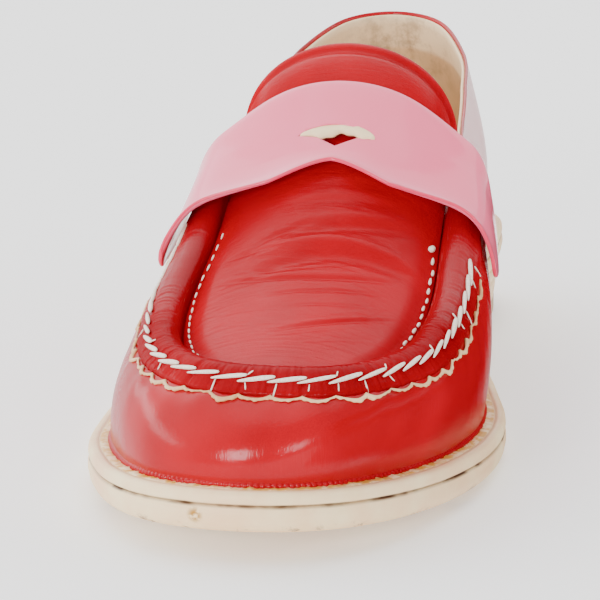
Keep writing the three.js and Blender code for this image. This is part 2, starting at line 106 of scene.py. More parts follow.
@dataclass(frozen=True)
class ApronRow:
    """How far the top edge is a raised seam, and the apron's crown, at one section."""

    seam: float
    crown: float


SOLE_ROWS: tuple[SoleRow, ...] = (
    SoleRow(0.000, 0.000, 0.000),
    SoleRow(0.010, -0.150, 0.130),
    SoleRow(0.035, -0.258, 0.232),
    SoleRow(0.075, -0.343, 0.320),
    SoleRow(0.130, -0.412, 0.396),
    SoleRow(0.200, -0.470, 0.456),
    SoleRow(0.280, -0.497, 0.491),
    SoleRow(0.360, -0.505, 0.489),
    SoleRow(0.450, -0.491, 0.437),
    SoleRow(0.550, -0.445, 0.354),
    SoleRow(0.650, -0.393, 0.309),
    SoleRow(0.750, -0.359, 0.309),
    SoleRow(0.850, -0.343, 0.316),
    SoleRow(0.930, -0.300, 0.286),
    SoleRow(0.981, -0.178, 0.182),
    SoleRow(1.000, 0.004, 0.004),
)

OUTER_WALL_ROWS: tuple[WallRow, ...] = (
    WallRow(0.078, 0.048, 0.465, 12, 66),
    WallRow(0.082, -0.044, 0.465, 12, 65),
    WallRow(0.098, -0.130, 0.470, 11, 63),
    WallRow(0.127, -0.200, 0.482, 8, 60),
    WallRow(0.163, -0.250, 0.502, 4, 54),
    WallRow(0.209, -0.284, 0.545, 1, 40),
    WallRow(0.267, -0.297, 0.640, 0, 30),
    WallRow(0.334, -0.277, 0.800, 0, 27),
    WallRow(0.405, -0.257, 1.010, 1, 24),
    WallRow(0.463, -0.250, 1.120, 2, 22),
    WallRow(0.550, -0.262, 0.960, 4, 18),
    WallRow(0.648, -0.286, 0.820, 6, 12),
    WallRow(0.765, -0.298, 0.830, 7, 11),
    WallRow(0.865, -0.272, 0.925, 9, 14),
    WallRow(0.938, -0.180, 1.020, 9, 15),
    WallRow(0.968, -0.034, 1.045, 9, 15),
)

INNER_WALL_ROWS: tuple[WallRow, ...] = (
    WallRow(0.078, 0.048, 0.465, 12, 66),
    WallRow(0.082, 0.138, 0.465, 12, 65),
    WallRow(0.099, 0.218, 0.470, 12, 62),
    WallRow(0.129, 0.283, 0.484, 11, 56),
    WallRow(0.168, 0.330, 0.506, 10, 46),
    WallRow(0.219, 0.357, 0.555, 9, 34),
    WallRow(0.281, 0.369, 0.655, 8, 23),
    WallRow(0.345, 0.363, 0.810, 7, 17),
    WallRow(0.410, 0.353, 1.000, 5, 18),
    WallRow(0.468, 0.339, 1.110, 4, 18),
    WallRow(0.556, 0.312, 0.950, 4, 13),
    WallRow(0.650, 0.278, 0.815, 4, 9),
    WallRow(0.765, 0.246, 0.830, 5, 10),
    WallRow(0.865, 0.204, 0.925, 9, 14),
    WallRow(0.938, 0.112, 1.020, 9, 15),
    WallRow(0.968, -0.034, 1.045, 9, 15),
)

APRON_ROWS: tuple[ApronRow, ...] = (
    ApronRow(1.0, 0.020),
    ApronRow(1.0, 0.030),
    ApronRow(1.0, 0.050),
    ApronRow(1.0, 0.080),
    ApronRow(1.0, 0.110),
    ApronRow(1.0, 0.150),
    ApronRow(1.0, 0.170),
    ApronRow(1.0, 0.215),
    ApronRow(0.6, 0.270),
    ApronRow(0.0, 0.445),
    ApronRow(0.0, 0.500),
    ApronRow(0.0, 0.500),
    ApronRow(0.0, 0.500),
    ApronRow(0.0, 0.500),
    ApronRow(0.0, 0.500),
    ApronRow(0.0, 0.500),
)

LAST_ROW = len(SOLE_ROWS) - 1
SOLE_SPOT = (-9.4, 1.1, 10.9)
HEEL_PATCH = (-2.0, 262.0, 68.0)


def smoothstep(value: Points | float, low: float, high: float) -> Points:
    """Rises smoothly from 0 at low to 1 at high.

    Args:
        value: Where to read the step.
        low: The value up to which the step is 0.
        high: The value from which the step is 1.

    Returns:
        The step's height, from 0 to 1.
    """
    t = np.clip((np.asarray(value, float) - low) / (high - low), 0, 1)
    return t * t * (3 - 2 * t)


def ripple(place: Points, seeds: Sequence[tuple[float, float]]) -> Points:
    """An uneven wave made of a few sines.

    Args:
        place: Distances along the wave.
        seeds: The wave length and the phase of each sine.

    Returns:
        Heights from about -1 to 1.
    """
    return sum(np.sin(2 * math.pi * place / length + phase) for length, phase in seeds) / len(seeds)


def unit(vectors: Points) -> Points:
    """Vectors at a length of 1."""
    return vectors / np.linalg.norm(vectors, axis=-1, keepdims=True)


def lengths_along(points: Points) -> Points:
    """The distance of each point of a line from its first, along the line."""
    return np.concatenate([[0.0], np.cumsum(np.linalg.norm(np.diff(points, axis=0), axis=1))])


@dataclass
class Last:
    """The form that the shoe is made on, as a loop of sections round it, in millimetres.

    A place on the loop is a row of the tables: negative on the inner side, positive on the outer
    side, 0 at the toe tip and plus or minus the last row at the heel back.
    """

    outsole_length: float = 276.0
    ball_width: float = 97.0
    outsole_thickness: float = 6.2
    welt_thickness: float = 3.2
    toe_spring: float = 7.4
    heel_height: float = 16.2
    top_lift_thickness: float = 4.5
    flat_front: float = 0.345
    flat_back: float = 0.4
    heel_seat: float = 0.8
    heel_breast: float = 0.735
    welt_margin: float = 4.9
    upper_wall: float = 1.8
    throat_rise: float = 54.0
    seam_reach: float = 5.7
    seam_drop: float = 4.9
    seam_inner_reach: float = 3.6
    seam_inner_drop: float = 5.6
    apron_thickness: float = 1.6
    apron_recess: float = 3.4
    tongue_tuck: float = 3.2
    clearance: float = 0.3
    throat_row: float = 9.0
    wall_fullness: float = 0.38
    tongue_squareness: float = 0.58
    shift: Vector = field(default_factory=Vector)

    def __post_init__(self) -> None:
        """Lays the rows out as knots of a closed curve and finds the middle of the sole."""
        places = range(-LAST_ROW - 2, LAST_ROW + 3)
        self.rows = np.array([self._row(place) for place in places])
        self.knots = lengths_along(self.rows[:, :2])
        gaps = np.diff(self.knots)[:, None]
        slopes = np.diff(self.rows, axis=0) / gaps
        inner = (slopes[:-1] * gaps[1:] + slopes[1:] * gaps[:-1]) / (gaps[1:] + gaps[:-1])
        self.tangents = np.vstack([slopes[:1], inner, slopes[-1:]])
        edge = self.sole_edge(np.linspace(-LAST_ROW, LAST_ROW, 6 * LAST_ROW + 1), 0.0, 0.0)
        middle = (edge.max(axis=0) + edge.min(axis=0)) / 2
        self.shift = Vector((-middle[0], -middle[1], 0.0))

    def _row(self, place: int) -> list[float]:
        """The numbers of one row on one side, with the loop closed past the heel back.

        Args:
            place: The row's place on the loop.

        Returns:
            Sole x and y, top x, y and rise, the two leans, the seam's share and the crown.
        """
        past_heel = abs(place) > LAST_ROW
        wrapped = place - 2 * LAST_ROW * int(math.copysign(1, place)) if past_heel else place
        row, outer = abs(wrapped), wrapped >= 0
        sole = SOLE_ROWS[row]
        wall = (OUTER_WALL_ROWS if outer else INNER_WALL_ROWS)[row]
        apron = APRON_ROWS[row]
        return [
            (sole.outer if outer else sole.inner) * self.ball_width,
            sole.at * self.outsole_length,
            wall.x * self.ball_width,
            wall.at * self.outsole_length,
            wall.rise * self.throat_rise,
            wall.foot,
            wall.top,
            apron.seam,
            apron.crown * self.throat_rise,
        ]

    def loop(self, places: Points) -> Points:
        """The smooth curve through the rows.

        Args:
            places: Places on the loop.

        Returns:
            One row of numbers for each place, in the order of _row.
        """
        index = np.clip(np.asarray(places, float) + LAST_ROW + 2, 0, len(self.knots) - 1.000001)
        low = index.astype(int)
        s = (index - low)[:, None]
        span = (self.knots[low + 1] - self.knots[low])[:, None]
        leaving = (self.rows[low] * (1 + 2 * s) + self.tangents[low] * s * span) * (1 - s) ** 2
        arriving = (self.rows[low + 1] * (3 - 2 * s) + self.tangents[low + 1] * (s - 1) * span) * s * s
        numbers = leaving + arriving
        numbers[:, 7] = np.clip(numbers[:, 7], 0, 1)
        return numbers

    def outward(self, places: Points, column: int) -> Points:
        """The level outward normal of the curve that two of the loop's numbers draw.

        Args:
            places: Places on the loop.
            column: The first of the two numbers: 0 for the sole's edge, 2 for the top edge.

        Returns:
            Unit vectors.
        """
        step = 0.02
        pair = slice(column, column + 2)
        along = self.loop(places + step)[:, pair] - self.loop(places - step)[:, pair]
        return unit(np.column_stack([-along[:, 1], along[:, 0], np.zeros(len(along))]))

    def tread(self, y: Points) -> Points:
        """Height of the outsole's underside.

        Args:
            y: Distances from the toe tip.

        Returns:
            Heights over the floor.
        """
        at = np.clip(y / self.outsole_length, 0, 1)
        toe = self.toe_spring * np.clip(1 - at / self.flat_front, 0, 1) ** 1.5
        return toe + self.heel_height * smoothstep(at, self.flat_back, self.heel_seat)

    def sole_edge(self, places: Points, margin: Points | float, height: Points | float) -> Points:
        """The sole's outline, moved in by a margin, at a height above the tread.

        Args:
            places: Places on the loop.
            margin: How far in from the edge.
            height: How far above the underside.

        Returns:
            Points, one for each place.
        """
        numbers = self.loop(places)
        normal = self.outward(places, 0)
        xy = numbers[:, :2] - normal[:, :2] * np.broadcast_to(margin, len(numbers))[:, None]
        return np.column_stack([xy, self.tread(xy[:, 1]) + height])

    def top_edge(self, places: Points) -> Points:
        """The crest of the apron seam, or the topline behind the strap.

        Args:
            places: Places on the loop.

        Returns:
            Points, one for each place.
        """
        numbers = self.loop(places)
        base = self.tread(numbers[:, 3]) + self.outsole_thickness + self.welt_thickness
        return np.column_stack([numbers[:, 2:4], base + numbers[:, 4]])

    def beside_top(self, places: Points, outwards: Points | float, upwards: Points | float) -> Points:
        """Points beside the top edge.

        Args:
            places: Places on the loop.
            outwards: How far out from the edge.
            upwards: How far up from the edge.

        Returns:
            Points, one for each place.
        """
        count = len(places)
        out = self.outward(places, 2) * np.broadcast_to(outwards, count)[:, None]
        out[:, 2] += np.broadcast_to(upwards, count)
        return self.top_edge(places) + out

    def wall(self, places: Points, v: Points | float) -> tuple[Points, Points]:
        """The outer face of the upper's wall.

        Args:
            places: Places on the loop.
            v: How far up the wall, from 0 at the welt to 1 at the seam or topline. Below 0 it goes
                down into the welt.

        Returns:
            Points on the wall and its outward normals.
        """
        numbers = self.loop(places)
        asked = np.broadcast_to(v, len(numbers))[:, None].astype(float)
        v, below = np.clip(asked, 0, 1), np.minimum(asked, 0)
        seam = numbers[:, 7]
        margin = self.welt_margin + self.clearance
        start = self.sole_edge(places, margin, self.outsole_thickness + self.welt_thickness)
        start_out, end_out = self.outward(places, 0), self.outward(places, 2)
        fold = 0.5 * self.upper_wall
        end = self.beside_top(places, self.seam_reach * seam, -self.seam_drop * seam - fold * (1 - seam))
        reach = self.wall_fullness * np.linalg.norm(end - start, axis=1, keepdims=True)
        foot, lean = np.radians(numbers[:, 5:6]), np.radians(numbers[:, 6:7])
        one = start + reach * (start_out * np.sin(foot) + UP * np.cos(foot))
        two = end - reach * (UP * np.cos(lean) - end_out * np.sin(lean))
        w = 1 - v
        point = w ** 3 * start + 3 * w * w * v * one + 3 * w * v * v * two + v ** 3 * end
        tangent = unit(w * w * (one - start) + 2 * w * v * (two - one) + v * v * (end - two))
        out = start_out * w + end_out * v
        normal = unit(out - tangent * np.sum(out * tangent, axis=1, keepdims=True))
        return point + UP * below * self.welt_thickness, normal

    def tongue_share(self, row: float) -> float:
        """How far a row is into the change from apron to tongue, from 0 to 1."""
        return float(smoothstep(row, self.throat_row - 2, self.throat_row))

    def apron_line(self, row: float, w: Points) -> Points:
        """The apron or tongue from its outer edge to its inner edge.

        Args:
            row: The row of the line.
            w: Places across, from -1 on the outer side to 1 on the inner side.

        Returns:
            Points, one for each place across.
        """
        share = self.tongue_share(row)
        apron_inside = self.seam_inner_reach + self.clearance
        tongue_inside = self.upper_wall + 2 * self.clearance
        inside = apron_inside * (1 - share) + tongue_inside * share
        below = self.apron_recess * (1 - share) + self.tongue_tuck * share
        ends = self.beside_top(np.array([row, -row]), -inside, -below)
        crown = self.loop(np.array([row]))[0, 8]
        spread = np.sin(np.asarray(w) * math.pi / 2)
        points = ends[:1] + (ends[1:] - ends[:1]) * ((spread + 1) / 2)[:, None]
        fullness = 1 - self.tongue_squareness * share
        points[:, 2] += crown * np.clip(1 - spread * spread, 0, 1) ** fullness
        return points

    def apron_point(self, place: float, inside: float) -> Points:
        """A point on the apron beside its edge.

        Args:
            place: The place on the loop.
            inside: How far in from the edge, in millimetres.

        Returns:
            The point.
        """
        ends = self.apron_line(abs(place), np.array([-1.0, 1.0]))
        half = 0.5 * float(np.linalg.norm(ends[1] - ends[0]))
        w = 1 - 2 / math.pi * math.acos(max(1 - inside / half, 0.0))
        return self.apron_line(abs(place), np.array([-w if place > 0 else w]))[0]

    def to_frame(self, points: Points) -> Points:
        """Moves points from the last's millimetres to the frame's metres."""
        return (points + np.array(self.shift)) * MILLIMETRE

    def row_at(self, share: float) -> float:
        """Row where the sole's edge is at a share of the outsole's length."""
        ats = [row.at for row in SOLE_ROWS]
        return float(np.interp(share, ats, range(len(ats))))


def numbered_grid(columns: int, rows: int) -> tuple[bmesh.types.BMesh, np.ndarray]:
    """A flat grid, with the column and row of each of its points.

    Args:
        columns: How many points along X.
        rows: How many points along Y.

    Returns:
        The grid, and an array with a column and a row for each vertex.
    """
    bm = bmesh.new()
    bmesh.ops.create_grid(bm, x_segments=columns - 1, y_segments=rows - 1, size=0.5)
    bm.verts.ensure_lookup_table()
    flat = np.array([(vert.co.x, vert.co.y) for vert in bm.verts]) + 0.5
    return bm, np.rint(flat * [columns - 1, rows - 1]).astype(int)


def formed_sheet(points: Points, marks: Points | None = None) -> bmesh.types.BMesh:
    """A grid moved onto points, with a UV map that follows it.

    Args:
        points: An array of points by column, row and axis, in metres.
        marks: What the UV map holds by column and row, or None for shares of the sheet.

    Returns:
        The sheet, with doubles merged where its ends meet.
    """
    columns, rows = points.shape[:2]
    bm, at = numbered_grid(columns, rows)
    layer = bm.loops.layers.uv.new("UVMap")
    for face in bm.faces:
        for corner in face.loops:
            i, j = at[corner.vert.index]
            corner[layer].uv = (i / (columns - 1), j / (rows - 1)) if marks is None else marks[i, j]
    for vert, (i, j) in zip(bm.verts, at):
        vert.co = points[i, j]
    bmesh.ops.remove_doubles(bm, verts=bm.verts, dist=MERGED_WITHIN)
    bmesh.ops.dissolve_degenerate(bm, dist=FLAT_WITHIN, edges=bm.edges)
    return bm


def cap_ends(bm: bmesh.types.BMesh) -> None:
    """Closes the open ends of a tube.

    Args:
        bm: The tube.
    """
    open_edges = [edge for edge in bm.edges if edge.is_boundary]
    if open_edges:
        bmesh.ops.holes_fill(bm, edges=open_edges)


def faced_out(bm: bmesh.types.BMesh) -> None:
    """Turns a closed shape's faces outwards.

    Args:
        bm: The shape.
    """
    bmesh.ops.recalc_face_normals(bm, faces=bm.faces)
    if bm.calc_volume(signed=True) < 0:
        bmesh.ops.reverse_faces(bm, faces=bm.faces)


def new_object(bm: bmesh.types.BMesh, name: str) -> bpy.types.Object:
    """Makes an object of a shape and links it to the scene.

    Args:
        bm: The shape. It is freed.
        name: The object's name.

    Returns:
        The new object.
    """
    mesh = bpy.data.meshes.new(name)
    bm.to_mesh(mesh)
    bm.free()
    made = bpy.data.objects.new(name, mesh)
    bpy.context.scene.collection.objects.link(made)
    return made


def put_piece(
    bm: bmesh.types.BMesh,
    name: str,
    material: bpy.types.Material,
    replaced: Sequence[str] = (),
) -> bpy.types.Object:
    """Makes a piece of a closed shape and ties it to the frame.

    Args:
        bm: The finished shape, in metres in the frame's place. It is faced outwards and freed.
        name: The piece's name.
        material: Its finish.
        replaced: CAD nodes that the piece stands for.

    Returns:
        The new object.
    """
    faced_out(bm)
    for face in bm.faces:
        face.smooth = True
    piece = new_object(bm, name)
    piece.data.materials.append(material)
    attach(piece, "root")
    if replaced:
        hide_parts(*replaced)
    log.info("%s: %d faces", name, len(piece.data.polygons))
    return piece


class Shading:
    """A material under construction, with short calls for its nodes."""

    def __init__(self, name: str) -> None:
        """Starts a node material with a principled surface.

        Args:
            name: The material's name.
        """
        self.material = bpy.data.materials.new(name)
        self.material.use_nodes = True
        self.tree = self.material.node_tree
        self.surface = self.tree.nodes["Principled BSDF"]
        self.place = self.tree.nodes.new("ShaderNodeTexCoord")

    def node(
        self, kind: str, links: dict[str | int, object] | None = None, **settings: object
    ) -> bpy.types.Node:
        """Adds a node.

        Args:
            kind: The node's type.
            links: Sockets or values by input name or number.
            **settings: Properties of the node.

        Returns:
            The new node.
        """
        made = self.tree.nodes.new(kind)
        for key, value in settings.items():
            setattr(made, key, value)
        for key, value in (links or {}).items():
            self.feed(made.inputs[key], value)
        return made

    def feed(self, socket: bpy.types.NodeSocket, value: object) -> None:
        """Links a socket to another, or sets its number or colour.

        Args:
            socket: The input.
            value: Another node's output, or a number, vector or colour.
        """
        if isinstance(value, bpy.types.NodeSocket):
            self.tree.links.new(value, socket)
        else:
            socket.default_value = value

    def set(self, **values: object) -> None:
        """Sets or links inputs of the surface, with underscores for the spaces in their names."""
        for key, value in values.items():
            self.feed(self.surface.inputs[key.replace("_", " ")], value)

    def noise(
        self, scale: float, detail: float = 3.0, rough: float = 0.5, where: object = None, **more: float
    ) -> object:
        """Noise from 0 to 1.

        Args:
            scale: How many lumps to a metre.
            detail: How many finer layers.
            rough: How strong they are.
            where: Coordinates other than the object's own.
            **more: Other inputs of the noise.

        Returns:
            The noise's factor.
        """
        where = where or self.place.outputs["Object"]
        links = {"Vector": where, "Scale": scale, "Detail": detail, "Roughness": rough, **more}
        return self.node("ShaderNodeTexNoise", links).outputs["Fac"]

    def stretched(self, scale: tuple[float, float, float]) -> object:
        """The object's own coordinates, with a scale on each axis."""
        links = {"Vector": self.place.outputs["Object"], "Scale": scale}
        return self.node("ShaderNodeMapping", links).outputs["Vector"]

    def band(self, value: object, low: float, high: float) -> object:
        """A smooth step of a value, from 0 at low to 1 at high."""
        links = {"Value": value, "From Min": low, "From Max": high}
        return self.node("ShaderNodeMapRange", links, interpolation_type="SMOOTHSTEP").outputs["Result"]

    def joined(self, how: Join, first: object, second: object) -> object:
        """Two numbers joined into one."""
        return self.node("ShaderNodeMath", {0: first, 1: second}, operation=how.value).outputs[0]

    def times(self, first: object, second: object) -> object:
        """The product of two numbers."""
        return self.joined(Join.PRODUCT, first, second)

    def mix(self, share: object, first: object, second: object) -> object:
        """A colour between two.

        Args:
            share: How much of the second colour there is, from 0 to 1.
            first: The first colour.
            second: The second colour.

        Returns:
            The colour.
        """
        made = self.node("ShaderNodeMix", data_type="RGBA")
        self.feed(made.inputs["Factor"], share)
        self.feed(made.inputs[6], first)
        self.feed(made.inputs[7], second)
        return made.outputs[2]

    def uv(self, axis: str) -> object:
        """One axis of the UV map."""
        return self.node("ShaderNodeSeparateXYZ", {0: self.place.outputs["UV"]}).outputs[axis]

    def near(self, middle: Vector, far: float, close: float) -> object:
        """A share that rises from 0 to 1 towards a point of the object.

        Args:
            middle: The point, in metres.
            far: The distance at which the share is 0, in metres.
            close: The distance at which it is 1, in metres.

        Returns:
            The share.
        """
        links = {0: self.place.outputs["Object"], 1: middle}
        gap = self.node("ShaderNodeVectorMath", links, operation="DISTANCE")
        return self.band(gap.outputs["Value"], far, close)

    def bump(self, height: object, distance: float, strength: float = 1.0, under: object = None) -> object:
        """A bumped normal.

        Args:
            height: The height, about 0 to 1.
            distance: How far 1 stands up, in metres.
            strength: How much of it shows.
            under: A bumped normal that this one lies on.

        Returns:
            The normal.
        """
        links = {"Height": height, "Distance": distance, "Strength": strength}
        if under is not None:
            links["Normal"] = under
        return self.node("ShaderNodeBump", links).outputs["Normal"]


@dataclass(frozen=True)
class RedPatent:
    """Red patent leather: a clear glossy coat over red, with faint puckers under it."""

    base: Colour = (0.43, 0.0001, 0.0085, 1.0)
    deep: Colour = (0.35, 0.0001, 0.0060, 1.0)
    pale: Colour = (0.47, 0.0040, 0.0120, 1.0)
    roughness: float = 0.45
    coat_roughness: float = 0.15
    swell_height: float = 0.0022
    brush_height: float = 0.00006
    wrinkle_height: float = 0.0011

    def build(
        self,
        name: str,
        gloss: float,
        back_gloss: float | None = None,
        streak: float = 0.0,
        channel: float = 0.0,
    ) -> bpy.types.Material:
        """Builds the material.

        Args:
            name: The material's name.
            gloss: How strong the clear coat is, from 0 to 1.
            back_gloss: The same towards the UV map's left and right ends, behind the strap, or None.
            streak: How strong the fine cross wrinkles are, from 0 to 1.
            channel: How wide the band beside an edge is, in the UV map's millimetres, or 0. Its coat is
                weakened there as painted shade.

        Returns:
            The material.
        """
        shade = Shading(name)
        cloud = shade.band(shade.noise(38.0, 2.0), 0.35, 0.7)
        fleck = shade.band(shade.noise(260.0, 4.0, 0.7), 0.55, 0.8)
        colour = shade.mix(cloud, self.deep, self.base)
        colour = shade.mix(shade.times(fleck, 0.22), colour, self.pale)
        normal = shade.bump(shade.noise(30.0, 2.0, 0.4), self.swell_height, 0.35)
        brushed = shade.noise(1.0, 2.0, 0.6, shade.stretched((1900.0, 1900.0, 130.0)))
        normal = shade.bump(brushed, self.brush_height, 1.0, normal)
        if streak > 0:
            fine = shade.noise(120.0, 5.0, 0.62, shade.stretched((1.0, 9.0, 4.0)), Distortion=0.4)
            normal = shade.bump(fine, self.wrinkle_height, streak, normal)
        coat: object = gloss
        if back_gloss is not None:
            from_toe = shade.joined(Join.DIFFERENCE, shade.uv("X"), 0.5)
            behind = shade.band(shade.joined(Join.SIZE, from_toe, 0.0), 0.20, 0.31)
            coat = shade.joined(Join.SUM, shade.times(behind, back_gloss - gloss), gloss)
        # Painted shade: the coat is weakened beside the seam, so the band reflects less and reads deeper
        # red, standing in for the seam's dark reflection.
        if channel > 0:
            beside = shade.band(shade.uv("X"), channel, 0.55 * channel)
            sides = shade.band(shade.uv("Y"), 0.22, 0.42)
            darker_patch = shade.times(shade.times(beside, sides), 0.8 * gloss)
            coat = shade.joined(Join.DIFFERENCE, gloss, darker_patch)
        shade.set(
            Base_Color=colour,
            Roughness=self.roughness,
            Coat_Weight=coat,
            Coat_Roughness=self.coat_roughness,
            Coat_IOR=CLEAR_COAT_IOR,
            Specular_IOR_Level=0.0,
            Normal=normal,
            Coat_Normal=normal,
        )
        return shade.material


@dataclass(frozen=True)
class PinkPatent:
    """Pink patent leather whose cut edges are painted a deeper pink."""

    base: Colour = (0.96, 0.190, 0.305, 1.0)
    shade_side: Colour = (0.94, 0.155, 0.265, 1.0)
    edge: Colour = (0.80, 0.040, 0.110, 1.0)
    edge_width: float = 0.28
    swell_height: float = 0.0014
    grain_height: float = 0.00005

    def build(self) -> bpy.types.Material:
        """Builds the material, painted up to edge_width in millimetres from the edge.

        Returns:
            The material.
        """
        shade = Shading("pink_patent")
        painted = shade.band(shade.uv("X"), self.edge_width * 1.3, self.edge_width * 0.6)
        cloud = shade.band(shade.noise(24.0, 3.0), 0.3, 0.75)
        colour = shade.mix(cloud, self.shade_side, self.base)
        colour = shade.mix(painted, colour, self.edge)
        normal = shade.bump(shade.noise(36.0, 2.0, 0.4), self.swell_height, 0.3)
        normal = shade.bump(shade.noise(1100.0, 2.0), self.grain_height, 0.3, normal)
        shade.set(
            Base_Color=colour,
            Roughness=0.4,
            Coat_Weight=0.9,
            Coat_Roughness=0.09,
            Coat_IOR=CLEAR_COAT_IOR,
            Specular_IOR_Level=0.1,
            Normal=normal,
            Coat_Normal=normal,
        )
        return shade.material


@dataclass(frozen=True)
class NaturalLeather:
    """Bare pale leather of the sole's edge, with faint layers, pores and traces of glue."""

    base: Colour = (0.97, 0.80, 0.475, 1.0)
    dark: Colour = (0.90, 0.58, 0.32, 1.0)
    glue: Colour = (0.70, 0.36, 0.05, 1.0)
    crack_shade: Colour = (0.10, 0.04, 0.015, 1.0)
    scuffed: Colour = (0.26, 0.14, 0.07, 1.0)
    grimy: Colour = (0.78, 0.46, 0.17, 1.0)
    stained: Colour = (0.42, 0.19, 0.012, 1.0)
    pore_depth: float = 0.00009
    layer_depth: float = 0.00025

    def build(
        self,
        name: str,
        glued: bool = False,
        crack: tuple[float, float] | None = None,
        scuff: tuple[float, float] | None = None,
        spot: Vector | None = None,
    ) -> bpy.types.Material:
        """Builds the material.

        Args:
            name: The material's name.
            glued: Whether traces of glue show beside the upper, where the UV map's rows end.
            crack: The UV rows between which painted shade darkens the leather into a crack, or None.
            scuff: The UV rows between which dirty scuffs begin, or None.
            spot: The middle of a yellow stain, in metres, or None.

        Returns:
            The material.
        """
        shade = Shading(name)
        cloud = shade.band(shade.noise(45.0, 4.0, 0.6), 0.3, 0.75)
        layers = shade.noise(60.0, 4.0, 0.6, shade.stretched((0.5, 0.5, 12.0)))
        colour = shade.mix(cloud, self.dark, self.base)
        colour = shade.mix(shade.times(shade.band(layers, 0.5, 0.85), 0.35), colour, self.dark)
        if glued:
            row = shade.uv("Y")
            beside = shade.times(shade.band(row, 0.60, 0.72), shade.band(row, 0.92, 0.84))
            traces = shade.band(shade.noise(330.0, 4.0, 0.6), 0.40, 0.56)
            colour = shade.mix(shade.times(beside, traces), colour, self.glue)
        # Painted shade: the rows in and beside the crack between welt and outsole are darkened nearly to
        # black.
        if crack is not None:
            broken = shade.joined(Join.HIGHER, shade.band(shade.noise(70.0, 3.0, 0.6), 0.35, 0.6), 0.45)
            colour = shade.mix(shade.times(shade.band(shade.uv("Y"), *crack), broken), colour, self.crack_shade)
        if scuff is not None:
            marks = shade.band(shade.noise(150.0, 5.0, 0.7), 0.55, 0.66)
            colour = shade.mix(shade.times(shade.band(shade.uv("Y"), *scuff), marks), colour, self.scuffed)
        grime = shade.band(shade.noise(16.0, 5.0, 0.7), 0.52, 0.72)
        colour = shade.mix(shade.times(grime, 0.30), colour, self.grimy)
        if spot is not None:
            broken = shade.band(shade.noise(900.0, 3.0), 0.3, 0.55)
            colour = shade.mix(shade.times(shade.near(spot, 0.0023, 0.0006), broken), colour, self.stained)
        normal = shade.bump(shade.noise(1500.0, 3.0, 0.6), self.pore_depth, 0.5)
        normal = shade.bump(layers, self.layer_depth, 0.4, normal)
        shade.set(
            Base_Color=colour,
            Roughness=shade.joined(Join.SUM, shade.times(cloud, 0.12), 0.42),
            Specular_IOR_Level=0.4,
            Normal=normal,
        )
        return shade.material


@dataclass(frozen=True)
class LiningLeather:
    """Soft pale lining, with a lighter facing at the top and a darker brown patch at the heel."""

    base: Colour = (0.76, 0.50, 0.26, 1.0)
    facing: Colour = (0.93, 0.71, 0.44, 1.0)
    darker_patch: Colour = (0.34, 0.20, 0.10, 1.0)
    cloud_shade: float = 0.88
    grain_depth: float = 0.00012
    swell_height: float = 0.0009

    def build(self, name: str, faced: bool = False, patch_at: Vector | None = None) -> bpy.types.Material:
        """Builds the material.

        Args:
            name: The material's name.
            faced: Whether the rows from the UV map's low end are the lighter facing.
            patch_at: The middle of the darker brown patch, in metres, or None.

        Returns:
            The material.
        """
        shade = Shading(name)
        cloud = shade.band(shade.noise(60.0, 4.0, 0.6), 0.3, 0.75)
        shaded = (*(self.cloud_shade * c for c in self.base[:3]), 1.0)
        colour = shade.mix(cloud, shaded, self.base)
        if faced:
            wave = shade.times(shade.noise(40.0, 2.0), 3.0)
            depth = shade.joined(Join.DIFFERENCE, shade.uv("Y"), wave)
            colour = shade.mix(shade.band(depth, 5.5, 7.0), self.facing, colour)
        # A darker brown patch, patchy with noise, round a point at the heel.
        if patch_at is not None:
            patchy = shade.band(shade.noise(150.0, 5.0, 0.65), 0.4, 0.68)
            darker_patch = shade.times(shade.near(patch_at, 0.024, 0.004), patchy)
            colour = shade.mix(shade.times(darker_patch, 0.8), colour, self.darker_patch)
        cells = {"Vector": shade.place.outputs["Object"], "Scale": 1300.0}
        grain = shade.node("ShaderNodeTexVoronoi", cells).outputs["Distance"]
        normal = shade.bump(grain, self.grain_depth, 0.35)
        normal = shade.bump(shade.noise(70.0, 3.0), self.swell_height, 0.4, normal)
        shade.set(Base_Color=colour, Roughness=0.62, Specular_IOR_Level=0.35, Normal=normal)
        return shade.material


@dataclass(frozen=True)
class WaxedThread:
    """Cream thread, twisted and slightly waxed."""

    base: Colour = (0.93, 0.84, 0.74, 1.0)
    dark: Colour = (0.80, 0.66, 0.52, 1.0)
    twist_depth: float = 0.0001

    def build(self) -> bpy.types.Material:
        """Builds the material.

        Returns:
            The material.
        """
        shade = Shading("waxed_thread")
        twist = shade.noise(2600.0, 2.0)
        colour = shade.mix(shade.band(twist, 0.35, 0.65), self.dark, self.base)
        shade.set(Base_Color=colour, Roughness=0.5, Normal=shade.bump(twist, self.twist_depth, 0.5))
        return shade.material


@dataclass(frozen=True)
class TopLiftRubber:
    """Hard tan rubber under the heel, with fine scratches."""

    base: Colour = (0.50, 0.36, 0.22, 1.0)
    dark: Colour = (0.42, 0.30, 0.18, 1.0)
    scratch_depth: float = 0.0001

    def build(self) -> bpy.types.Material:
        """Builds the material.

        Returns:
            The material.
        """
        shade = Shading("top_lift_rubber")
        cloud = shade.noise(150.0, 4.0, 0.6)
        colour = shade.mix(shade.band(cloud, 0.35, 0.7), self.dark, self.base)
        grit = shade.bump(shade.noise(1800.0, 3.0, 0.6), self.scratch_depth, 0.5)
        shade.set(Base_Color=colour, Roughness=0.7, Normal=grit)
        return shade.material


